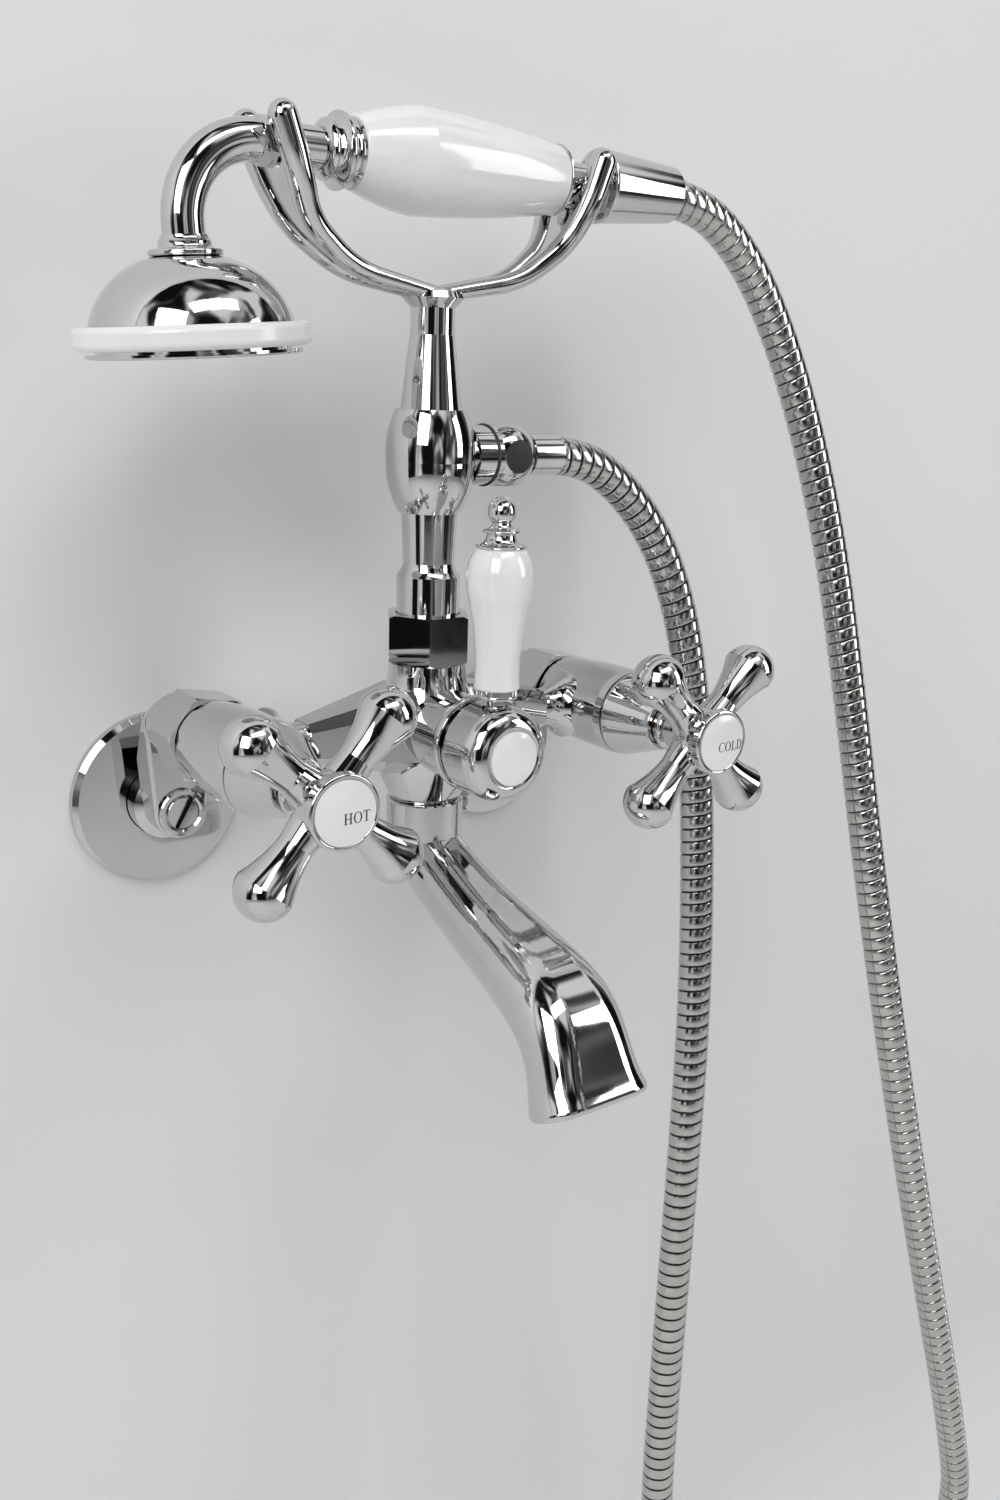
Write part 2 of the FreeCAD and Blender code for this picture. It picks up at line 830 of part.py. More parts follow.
def mixer_body():
    groove = S.spout_thread_radius - S.spout_groove_depth
    seal_floor = S.spout_thread_radius - S.seal_thickness
    hub = turned(
        "hub",
        [
            (0, S.hub_foot - S.spout_thread_length),
            (S.spout_thread_radius, S.hub_foot - S.spout_thread_length),
            (S.spout_thread_radius, S.spout_groove_height - S.grub_screw_radius - 0.2),
            (groove, S.spout_groove_height - S.grub_screw_radius - 0.2),
            (groove, S.spout_groove_height + S.grub_screw_radius + 0.2),
            (S.spout_thread_radius, S.spout_groove_height + S.grub_screw_radius + 0.2),
            (S.spout_thread_radius, S.spout_seal_height - S.seal_thickness / 2),
            (seal_floor, S.spout_seal_height - S.seal_thickness / 2),
            (seal_floor, S.spout_seal_height + S.seal_thickness / 2),
            (S.spout_thread_radius, S.spout_seal_height + S.seal_thickness / 2),
            (S.spout_thread_radius, S.hub_foot),
            (S.hub_foot_radius, S.hub_foot),
            (S.hub_belly, S.hub_belly_height, 1.6),
            (S.hub_belly - 0.6, S.valve_height + 7, 0.8),
            (S.hub_top_radius, S.hub_top, -1.3),
            (S.union_thread_radius, S.hub_top),
            (S.union_thread_radius, S.hub_top + S.riser_thread_length),
            (0, S.hub_top + S.riser_thread_length),
        ],
        COLUMN,
    )
    housing = turned(
        "diverter_housing",
        [
            (0, S.column_reach),
            (S.diverter_radius, S.column_reach),
            (S.diverter_radius, S.diverter_front - S.diverter_lip_depth),
            (S.diverter_lip - 0.4, S.diverter_front - S.diverter_lip_depth, -0.1),
            (S.diverter_lip, S.diverter_front - 0.5 * S.diverter_lip_depth, 0.2),
            (S.diverter_lip - 0.4, S.diverter_front, 0.2),
            (0, S.diverter_front),
        ],
        (0, 0, S.valve_height),
        TO_ROOM,
    )
    pieces = [hub, housing]
    for hand, _, side in SIDES:
        facing = TO_RIGHT if side > 0 else TO_LEFT
        pieces.append(valve_barrel(f"barrel_{hand}", side))
        pieces.append(body_bar(f"bar_{hand}", side, facing))
        pieces.append(side_neck(f"side_neck_{hand}", facing))
    casting = fused("body_casting", pieces)
    top = S.hub_top + S.riser_thread_length
    bores = [
        cylinder(
            "diverter_bore",
            S.cartridge_bore,
            S.diverter_front - S.diverter_seat + 1,
            (0, -S.diverter_seat, S.valve_height),
            TO_ROOM,
        ),
        cylinder(
            "riser_bore",
            S.water_bore,
            top - S.valve_height + 1,
            (0, -S.column_reach, S.valve_height),
        ),
        cylinder(
            "spout_bore",
            S.water_bore,
            S.spout_thread_length + 6,
            (0, -S.column_reach, S.hub_foot - S.spout_thread_length - 1),
        ),
    ]
    for hand, _, side in SIDES:
        bores.append(
            cylinder(
                f"barrel_bore_{hand}",
                S.cartridge_bore,
                S.barrel_front - S.cartridge_seat + 1,
                (side * S.half_spacing, -S.cartridge_seat, S.valve_height),
                TO_ROOM,
            )
        )
    node("mixer_body", cut("mixer_body", casting, fused("body_bores", bores)))


def tap_cartridge(name, side):
    seat = S.cartridge_seat + 3
    outer = S.cartridge_bore - S.thread_gap
    bore = S.spindle_radius + S.thread_gap
    chamber = S.spindle_back - S.turning_gap
    cartridge = turned(
        name,
        [
            (0, seat),
            (outer, seat),
            (outer, S.barrel_front + 0.1),
            (S.cartridge_neck + 3, S.barrel_front + 0.1),
            (S.cartridge_neck + 3, S.barrel_front + 5),
            (S.cartridge_neck, S.barrel_front + 5),
            (S.cartridge_neck, S.cartridge_front),
            (bore, S.cartridge_front),
            (bore, chamber),
            (0, chamber),
        ],
        from_valve(side),
        TO_ROOM,
    )
    node(name, cartridge)


def tap_spindle(name, side):
    tip = S.handle_screw_radius + S.thread_gap
    spindle = turned(
        name,
        [
            (0, S.spindle_back),
            (S.spindle_radius, S.spindle_back),
            (S.spindle_radius, S.spindle_front),
            (tip, S.spindle_front),
            (tip, S.handle_screw_seat - S.handle_screw_length - 0.5),
            (0, S.handle_screw_seat - S.handle_screw_length - 0.5),
        ],
        from_valve(side),
        TO_ROOM,
    )
    node(name, spindle)


def bonnet(name, side):
    back = S.barrel_front + S.seat_gap
    inner = S.bonnet_back_radius - S.bonnet_wall
    hole = S.cartridge_neck + S.seat_gap
    shroud = turned(
        name,
        [
            (inner, back),
            (S.bonnet_back_radius - 0.6, back),
            (S.bonnet_back_radius, back + S.bonnet_rim, 0.4),
            (S.bonnet_front_radius, S.bonnet_front - 0.6),
            (S.bonnet_front_radius - 0.6, S.bonnet_front, 0.15),
            (hole, S.bonnet_front),
            (hole, S.bonnet_front - S.bonnet_wall),
            (inner, S.barrel_front + 6),
        ],
        from_valve(side),
        TO_ROOM,
    )
    node(name, shroud)


def cross_handle(name, side, angle):
    body = doc.addObject("PartDesign::Body", name)
    hub = sketch_on(body, f"{name}_hub_outline", "XZ_Plane")
    hole = S.spindle_radius + S.thread_gap
    cup = S.handle_cup_bore
    draw(
        hub,
        [
            (hole, S.handle_back),
            (S.handle_neck_radius, S.handle_back),
            (S.handle_neck_radius, S.handle_back + 2),
            (S.handle_neck_radius + 1.4, S.handle_back + 3, 0.4),
            (S.handle_neck_radius, S.handle_back + 5, 0.4),
            (S.handle_hub_radius, S.lobe_plane, -0.8),
            (S.handle_hub_radius - 0.6, S.handle_cup_front - 3.4, 0.4),
            (S.handle_cup_radius, S.handle_cup_front - 2.4, -0.3),
            (S.handle_cup_radius, S.handle_cup_front),
            (cup, S.handle_cup_front),
            (cup, S.handle_screw_seat),
            (S.handle_screw_radius + S.thread_gap, S.handle_screw_seat),
            (S.handle_screw_radius + S.thread_gap, S.spindle_front + 0.2),
            (hole, S.spindle_front + 0.2),
        ],
    )
    turn = body.newObject("PartDesign::Revolution", f"{name}_hub_turn")
    turn.Profile = hub
    turn.ReferenceAxis = (hub, ["V_Axis"])
    turn.Angle = 360
    lobe = sketch_on(body, f"{name}_lobe_outline", "XZ_Plane")
    lobe.AttachmentOffset = Placement(Vector(0, S.lobe_plane.value, 0), Rotation())
    bind(lobe, "AttachmentOffset.Base.y", S.lobe_plane)
    draw(
        lobe,
        [
            (cup + 0.05, 0),
            (S.lobe_reach, 0),
            (S.lobe_bulge_reach, S.lobe_bulge, cap_bulge(S.lobe_bulge, S.lobe_reach - S.lobe_bulge_reach)),
            (S.lobe_waist_reach, S.lobe_waist, -0.7),
            (cup + 0.05, S.lobe_root_radius),
        ],
    )
    lobe_turn = body.newObject("PartDesign::Revolution", f"{name}_lobe_turn")
    lobe_turn.Profile = lobe
    lobe_turn.ReferenceAxis = (lobe, ["H_Axis"])
    lobe_turn.Angle = 360
    doc.recompute()
    lobes = body.newObject("PartDesign::PolarPattern", f"{name}_lobes")
    lobes.Originals = [lobe_turn]
    lobes.Axis = (hub, ["V_Axis"])
    lobes.Angle = 360
    lobes.Occurrences = 4
    body.Tip = lobes
    place(body, from_valve(side), TO_ROOM * Rotation(Vector(0, 0, 1), angle))
    node(name, body)


def handle_screw(name, side):
    seat = S.handle_screw_seat
    head = S.handle_screw_head
    screw = turned(
        name,
        [
            (0, seat - S.handle_screw_length),
            (S.handle_screw_radius, seat - S.handle_screw_length),
            (S.handle_screw_radius, seat + 0.05),
            (head, seat + 0.05),
            (head, seat + 1.6),
            (0, seat + 1.6 + S.screw_dome, cap_bulge(head, S.screw_dome)),
        ],
        from_valve(side),
        TO_ROOM,
    )
    node(name, screw)


def index_ring(name, side):
    """The screw-in cap whose rim holds the porcelain button."""
    inner = S.index_radius + S.thread_gap
    plug = S.handle_cup_bore - S.thread_gap
    floor = S.handle_cup_front + 1.2
    cap = turned(
        name,
        [
            (0, S.handle_cup_front - 3),
            (plug, S.handle_cup_front - 3),
            (plug, S.handle_cup_front + 0.05),
            (S.index_ring_radius - 0.4, S.handle_cup_front + 0.05),
            (S.index_ring_radius, S.handle_cup_front + 0.6, 0.1),
            (S.index_ring_radius, S.index_ring_front - 1),
            (inner + 0.4, S.index_ring_front, 0.5),
            (inner, S.index_ring_front - 0.4),
            (inner, floor),
            (0, floor),
        ],
        from_valve(side),
        TO_ROOM,
    )
    node(name, cap)


def domed_disc(name, radius, floor, front, dome, base):
    disc = turned(
        name,
        [(0, floor), (radius, floor), (radius, front - dome), (0, front, cap_bulge(radius, dome))],
        base,
        TO_ROOM,
    )
    node(name, disc)


def taps():
    for _, water, side in SIDES:
        tap_cartridge(f"{water}_cartridge", side)
        tap_spindle(f"{water}_spindle", side)
        bonnet(f"{water}_bonnet", side)
        cross_handle(f"{water}_handle", side, SIZES[f"{water}_turn"])
        handle_screw(f"{water}_handle_screw", side)
        index_ring(f"{water}_index_ring", side)
        floor = S.handle_cup_front + 1.2 + 0.05
        domed_disc(f"{water}_button", S.index_radius, floor, S.index_front, S.index_dome, from_valve(side))


def diverter_cartridge():
    bore = S.spindle_radius + S.thread_gap
    outer = S.cartridge_bore - S.thread_gap
    chamber = S.diverter_seat + 6
    body = turned(
        "diverter_cartridge",
        [
            (0, S.diverter_seat + 1),
            (outer, S.diverter_seat + 1),
            (outer, S.diverter_front - 0.4),
            (bore, S.diverter_front - 0.4),
            (bore, chamber),
            (0, chamber),
        ],
        (0, 0, S.valve_height),
        TO_ROOM,
    )
    node("diverter_cartridge", body)
    spindle = turned(
        "diverter_spindle",
        [
            (0, chamber + S.turning_gap),
            (S.spindle_radius, chamber + S.turning_gap),
            (S.spindle_radius, S.knob_front - S.knob_cup_depth - 2.4),
            (0, S.knob_front - S.knob_cup_depth - 2.4),
        ],
        (0, 0, S.valve_height),
        TO_ROOM,
    )
    node("diverter_spindle", spindle)


def diverter_knob():
    cup = S.diverter_disc_radius + S.thread_gap
    floor = S.knob_front - S.knob_cup_depth
    hole = S.spindle_radius + S.thread_gap
    blank = turned(
        "diverter_knob_blank",
        [
            (hole, S.knob_back),
            (S.knob_radius - 1.2, S.knob_back),
            (S.knob_radius - 1.2, S.knob_back + 1.6),
            (S.knob_radius - 0.5, S.knob_back + 2, -0.1),
            (S.knob_radius, S.knob_back + 3.2, 0.2),
            (S.knob_radius, S.knob_shoulder),
            (S.knob_face_radius + 0.6, S.knob_front, 1.7),
            (S.knob_face_radius - 0.3, S.knob_front, 0.12),
            (cup, S.knob_front - 0.6),
            (cup, floor),
            (0, floor),
            (0, floor - 2),
            (hole, floor - 2),
        ],
        (0, 0, S.valve_height),
        TO_ROOM,
    )
    socket = cylinder(
        "lever_socket",
        S.lever_rod_radius + S.thread_gap,
        20,
        (0, -(S.knob_back + S.lever_offset), S.valve_height + S.knob_radius - 8),
    )
    spot = cylinder(
        "lever_spot_face",
        S.lever_stub_radius + 0.5,
        20,
        (0, -(S.knob_back + S.lever_offset), S.valve_height + S.knob_radius - 0.4),
    )
    node("diverter_knob", cut("diverter_knob", blank, fused("lever_seat", [socket, spot])))
    domed_disc(
        "diverter_button",
        S.diverter_disc_radius,
        floor + 0.05,
        S.diverter_disc_front,
        S.index_dome,
        (0, 0, S.valve_height),
    )


def diverter_lever():
    base = (0, -(S.knob_back + S.lever_offset), 0)
    foot = S.valve_height + S.knob_radius - 0.4 + 0.05
    rod = S.lever_rod_radius
    stem_top = S.grip_top + 2.4
    stem = turned(
        "lever_stem",
        [
            (0, S.valve_height + S.knob_radius - 7.5),
            (rod, S.valve_height + S.knob_radius - 7.5),
            (rod, foot),
            (S.lever_stub_radius, foot),
            (S.lever_stub_radius, S.lever_stub_top),
            (S.lever_collar_radius - 0.5, S.lever_stub_top),
            (S.lever_collar_radius, S.lever_stub_top + 1.4, 0.4),
            (S.lever_collar_radius, S.lever_collar_top),
            (rod, S.lever_collar_top),
            (rod, stem_top),
            (0, stem_top),
        ],
        base,
    )
    node("lever_stem", stem)
    hole = rod + S.seat_gap
    bottom = S.lever_collar_top + 0.05
    grip = turned(
        "lever_grip",
        [
            (hole, bottom),
            (S.grip_foot_radius - 0.8, bottom),
            (S.grip_foot_radius, bottom + 1, 0.3),
            (S.grip_waist_radius, S.grip_waist_height, -0.15),
            (S.grip_belly_radius - 1.2, S.grip_belly_height - 10, -0.35),
            (S.grip_belly_radius, S.grip_belly_height - 1, 0.4),
            (S.grip_top_radius, S.grip_top, 0.9),
            (hole, S.grip_top),
        ],
        base,
    )
    node("lever_grip", grip)
    start = S.grip_top + 0.05
    ball = S.finial_ball_radius
    finial = turned(
        "lever_finial",
        [
            (rod + S.thread_gap, start),
            (S.finial_base_radius, start),
            (S.finial_base_radius, start + 0.9, 0.3),
            (S.finial_ring_radius - 1, start + 4.4, -0.9),
            (S.finial_ring_radius, start + 4.9),
            (S.finial_ring_radius, start + 5.9, 0.4),
            (S.finial_neck_radius, S.finial_neck_height, -0.6),
            (ball, S.finial_top - ball, 0.5),
            (0, S.finial_top, cap_bulge(ball, ball)),
            (0, stem_top + 0.3),
            (rod + S.thread_gap, stem_top + 0.3),
        ],
        base,
    )
    node("lever_finial", finial)


def riser():
    thread_top = S.hub_top + S.riser_thread_length
    collar = thread_top + S.washer_depth
    lip = S.riser_nut_top - S.riser_lip
    bore = S.union_thread_radius + S.thread_gap
    inner = S.sleeve_radius + S.seat_gap
    outer = S.riser_nut_radius
    blank = turned(
        "riser_nut_blank",
        [
            (bore, S.riser_nut_bottom),
            (outer - S.nut_chamfer, S.riser_nut_bottom),
            (outer, S.riser_nut_bottom + S.nut_chamfer),
            (outer, S.riser_nut_top - S.nut_chamfer),
            (outer - S.nut_chamfer, S.riser_nut_top),
            (inner, S.riser_nut_top),
            (inner, lip),
            (bore, lip),
        ],
        COLUMN,
    )
    length = S.riser_nut_top - S.riser_nut_bottom
    node("riser_nut", hexagonal("riser_nut", blank, outer, S.riser_nut_bottom, length, COLUMN))
    ring = washer_at(
        "riser_washer", S.water_bore, S.union_thread_radius - S.seat_gap, thread_top, S.washer_depth, COLUMN
    )
    node("riser_washer", ring)
    column = turned(
        "column_outside",
        [
            (0, collar),
            (S.union_thread_radius - S.seat_gap, collar),
            (S.union_thread_radius - S.seat_gap, lip - S.seat_gap),
            (S.sleeve_radius, lip - S.seat_gap),
            (S.sleeve_radius, S.sleeve_top),
            (S.column_neck_radius, S.column_neck_height, -0.4),
            (S.lower_cone_radius, S.bulge_bottom),
            (S.bulge_bottom_radius, S.bulge_bottom),
            (S.bulge_radius, S.bulge_height, 1.3),
            (S.bulge_top_radius, S.bulge_top, 1.2),
            (S.upper_cone_radius, S.bulge_top),
            (S.cradle_joint_radius, CRADLE_JOINT),
            (0, CRADLE_JOINT),
        ],
        COLUMN,
    )
    water = cylinder(
        "column_water_bore", S.water_bore, S.bulge_height - collar + 6, (0, -S.column_reach, collar - 1)
    )
    peg = cylinder(
        "cradle_peg_bore",
        S.cradle_peg_radius + S.thread_gap,
        S.cradle_peg_length + 1,
        (0, -S.column_reach, CRADLE_JOINT - S.cradle_peg_length - S.seat_gap),
    )
    outlet = cylinder(
        "outlet_seat",
        S.outlet_spigot_radius,
        2 * S.bulge_radius,
        (0, -S.column_reach, S.outlet_height),
        TO_RIGHT,
    )
    grub = cylinder(
        "grub_screw_hole",
        S.grub_screw_radius + S.thread_gap,
        20,
        (0, -S.column_reach, CRADLE_JOINT - 0.5 * S.cradle_peg_length),
        Rotation(Vector(1, 0, 0), -90),
    )
    holes = fused("column_holes", [water, peg, outlet, grub])
    node("riser_column", cut("riser_column", column, holes))
    screw = turned(
        "cradle_grub_screw",
        [
            (0, S.cradle_peg_radius + 0.15),
            (S.grub_screw_radius - 0.5, S.cradle_peg_radius + 0.15),
            (S.grub_screw_radius, S.cradle_peg_radius + 0.65),
            (S.grub_screw_radius, S.cradle_joint_radius - S.seat_gap),
            (0, S.cradle_joint_radius - S.seat_gap),
        ],
        (0, -S.column_reach, CRADLE_JOINT - 0.5 * S.cradle_peg_length),
        Rotation(Vector(1, 0, 0), -90),
    )
    node("cradle_grub_screw", screw)


def hose_outlet():
    base = (0, -S.column_reach, S.outlet_height)
    spigot = S.outlet_spigot_radius - S.thread_gap
    bore = S.hose_bore
    nipple = turned(
        "outlet_outside",
        [
            (bore, S.outlet_root),
            (spigot, S.outlet_root),
            (spigot, S.bulge_radius - 1),
            (S.outlet_radius, S.bulge_radius - 1),
            (S.outlet_radius, S.outlet_front),
            (spigot, S.outlet_front),
            (spigot, S.outlet_front + S.outlet_spigot_length),
            (bore, S.outlet_front + S.outlet_spigot_length),
        ],
        base,
        TO_RIGHT,
    )
    bulge = turned(
        "outlet_saddle",
        [
            (0, S.bulge_bottom),
            (S.bulge_bottom_radius + S.thread_gap, S.bulge_bottom),
            (S.bulge_radius + S.thread_gap, S.bulge_height, 1.3),
            (S.bulge_top_radius + S.thread_gap, S.bulge_top, 1.2),
            (0, S.bulge_top),
        ],
        COLUMN,
    )
    spigot_keep = cylinder("outlet_spigot_keep", spigot, 2 * S.bulge_radius, base, TO_RIGHT)
    shell = cut("outlet_saddle_cut", bulge, spigot_keep)
    node("outlet_nipple", cut("outlet_nipple", nipple, shell))
    seal = turned(
        "outlet_seal",
        [
            (spigot + 0.1, S.outlet_front + 0.05),
            (S.outlet_radius + 0.3, S.outlet_front + 0.05),
            (S.outlet_radius + 0.3, S.outlet_front + S.seal_depth, 0.25),
            (spigot + 0.1, S.outlet_front + S.seal_depth),
        ],
        base,
        TO_RIGHT,
    )
    node("outlet_seal", seal)
    back = S.outlet_front + S.seal_depth + 0.05
    centre = (S.ball_centre, -S.column_reach, S.outlet_height)
    ball = doc.addObject("Part::Sphere", "outlet_ball_round")
    bind(ball, "Radius", S.ball_radius)
    place(ball, centre)
    flat = S.ball_flat
    block = box(
        "outlet_ball_flats",
        (back, -S.column_reach - flat, S.outlet_height - flat),
        (S.ball_front - back, 2 * flat, 2 * flat),
    )
    collar = cylinder(
        "outlet_ball_collar",
        S.outlet_radius,
        3.0,
        (back, -S.column_reach, S.outlet_height),
        TO_RIGHT,
    )
    faced = doc.addObject("Part::Common", "outlet_ball_faced")
    faced.Base = ball
    faced.Tool = block
    whole = fused("outlet_ball_whole", [faced, collar])
    thread = cylinder("outlet_ball_thread", S.outlet_spigot_radius, S.outlet_spigot_length + 1,
                      (back - 1, -S.column_reach, S.outlet_height), TO_RIGHT)
    passage = cylinder("outlet_ball_passage", bore, S.ball_front + 1, base, TO_RIGHT)
    node("outlet_elbow", cut("outlet_elbow", whole, fused("outlet_ball_bores", [thread, passage])))
    ferrule = turned(
        "hose_ferrule",
        [
            (S.hose_end_radius + 0.05, S.ball_front + 0.05),
            (S.ferrule_radius, S.ball_front + 0.05),
            (S.ferrule_radius, S.ball_front + S.hose_end_length - 0.4),
            (S.ferrule_radius - 0.4, S.ball_front + S.hose_end_length),
            (S.hose_end_radius + 0.05, S.ball_front + S.hose_end_length),
        ],
        base,
        TO_RIGHT,
    )
    node("hose_ferrule", ferrule)


def rounded_route(points, radii):
    """Straight runs between the points, joined by tangent arcs of the radii given."""
    edges = []
    start = points[0]
    for before, corner, after, radius in zip(points, points[1:], points[2:], radii):
        inward = corner - before
        outward = after - corner
        inward.normalize()
        outward.normalize()
        half_turn = inward.getAngle(outward) / 2
        setback = radius * math.tan(half_turn)
        first = corner - inward * setback
        last = corner + outward * setback
        bisector = outward - inward
        bisector.normalize()
        middle = corner + bisector * (radius / math.cos(half_turn) - radius)
        edges.append(Part.LineSegment(start, first).toShape())
        edges.append(Part.Arc(first, middle, last).toShape())
        start = last
    edges.append(Part.LineSegment(start, points[-1]).toShape())
    return Part.Wire(edges)


ARC_SHARE = 0.45


def arc_radii(points):
    """The largest arc that each corner's shorter run allows."""
    radii = []
    for before, corner, after in zip(points, points[1:], points[2:]):
        inward = corner - before
        outward = after - corner
        shorter = min(inward.Length, outward.Length)
        radii.append(ARC_SHARE * shorter / math.tan(inward.getAngle(outward) / 2))
    return radii


def cradle_heights():
    """Heights of the cradle's joint, its stem's top and its saddle's base."""
    joint = CRADLE_JOINT.value
    stem_top = joint + sheet.stem_length
    return joint, stem_top, stem_top + sheet.saddle_collar_height


def cradle_line(side, face):
    """One branch of the cradle from base to tip: face is 0 for the middle, 1 or -1 for an edge."""
    reach = 0.0
    height = cradle_heights()[-1]
    points = [Vector(0, face * sheet.saddle_half_width - sheet.column_reach, height)]
    for step, rise, half in (
        (sheet.saddle_reach, sheet.saddle_rise, sheet.saddle_half_width),
        (sheet.knee_step, sheet.knee_rise, sheet.knee_half_width),
        (sheet.fork_step, sheet.fork_rise, sheet.fork_half_width),
        (sheet.tip_step, sheet.tip_rise, sheet.fork_half_width),
    ):
        reach += step
        height += rise
        points.append(Vector(side * reach, face * half - sheet.column_reach, height))
    return points


def cradle_rod(side, face):
    """One edge rib of the cradle, thin at the base and thick at the prong's tip."""
    points = cradle_line(side, face)
    path = rounded_route(points, arc_radii(points))
    edges = path.OrderedEdges
    rings = []
    for edge, at_end, radius in ((edges[0], 0, sheet.rib_radius), (edges[-1], 1, sheet.prong_radius)):
        parameter = edge.LastParameter if at_end else edge.FirstParameter
        circle = Part.Circle(edge.valueAt(parameter), edge.tangentAt(parameter), radius)
        rings.append(Part.Wire(circle.toShape()))
    sweep = path.makePipeShell(rings, True, False)
    return sweep.fuse(Part.makeSphere(sheet.prong_radius, points[-1]))


def cradle_strap(side):
    """The curved strap between the ribs of one branch: its side view, cut to the width of its plan."""
    points = cradle_line(side, 0)
    wide = sheet.fork_half_width + sheet.prong_radius
    half = sheet.plate_thickness / 2
    line = rounded_route(points, arc_radii(points))
    line.translate(Vector(0, -wide, 0))
    surface = line.extrude(Vector(0, 2 * wide, 0))
    band = surface.makeOffsetShape(half, 0.01, fill=False).makeOffsetShape(-2 * half, 0.01, fill=True)
    edge = [Vector(point.x, point.y, 0) for point in cradle_line(side, 1)]
    edge[-1].x += side * 3 * half
    far_edge = [Vector(point.x, -2 * sheet.column_reach - point.y, 0) for point in reversed(edge)]
    outline = Part.Face(Part.makePolygon(edge + far_edge + edge[:1]))
    return band.common(outline.extrude(Vector(0, 0, points[-1].z + wide)))


def cradle():
    branches = [cradle_rod(side, face) for side in (-1, 1) for face in (-1, 1)]
    gap = sheet.fork_half_width - sheet.prong_radius
    seat = sheet.handset_height - sheet.elbow_nut_radius - sheet.seat_gap + gap
    back = -sheet.column_reach
    tip = cradle_line(1, 0)[-1]
    reach = tip.x + sheet.fork_half_width
    notch = Part.makeCylinder(gap, 2 * reach, Vector(-reach, back, seat), Vector(1, 0, 0))
    opening = Part.makeBox(2 * reach, 2 * gap, tip.z, Vector(-reach, back - gap, seat))
    straps = [cradle_strap(side).cut(notch.fuse(opening)) for side in (-1, 1)]
    joint, stem_top, saddle_base = cradle_heights()
    foot = joint - sheet.cradle_peg_length
    collar_outline = Part.makePolygon(
        [
            Vector(0, 0, foot),
            Vector(sheet.cradle_peg_radius, 0, foot),
            Vector(sheet.cradle_peg_radius, 0, joint + 0.05),
            Vector(sheet.stem_radius, 0, joint + 0.05),
            Vector(sheet.stem_radius, 0, stem_top - 1),
            Vector(sheet.saddle_collar_radius, 0, saddle_base - 1),
            Vector(sheet.saddle_collar_radius - 1, 0, saddle_base + 1),
            Vector(sheet.saddle_half_width, 0, saddle_base + sheet.rib_radius),
            Vector(0, 0, saddle_base + sheet.rib_radius),
            Vector(0, 0, foot),
        ]
    )
    collar = Part.Face(collar_outline).revolve(Vector(0, 0, 0), Vector(0, 0, 1), 360)
    collar.translate(Vector(0, back, 0))
    saddle = doc.addObject("Part::Feature", "cradle")
    saddle.Shape = collar.multiFuse(branches + straps).removeSplitter()
    node("cradle", saddle)


def elbow_tube():
    """The bent tube that carries the bell, with its bore."""
    corner = Vector(-sheet.head_offset, -sheet.column_reach, sheet.handset_height)
    straight = sheet.head_offset - sheet.elbow_nut_front
    down = TO_HEAD.multVec(Vector(0, 0, -1))
    points = [
        corner + Vector(straight, 0, 0),
        corner,
        corner + down * (sheet.collar_foot_drop + sheet.elbow_spigot),
    ]
    half_turn = math.radians(90 + sheet.head_tilt) / 2
    path = rounded_route(points, [(straight - sheet.seat_gap) / math.tan(half_turn)])
    skins = []
    for radius in (sheet.elbow_radius, sheet.elbow_bore):
        ring = Part.Wire(Part.Circle(points[0], Vector(-1, 0, 0), radius).toShape())
        skins.append(path.makePipeShell([ring], True, False))
    return skins[0].cut(skins[1])


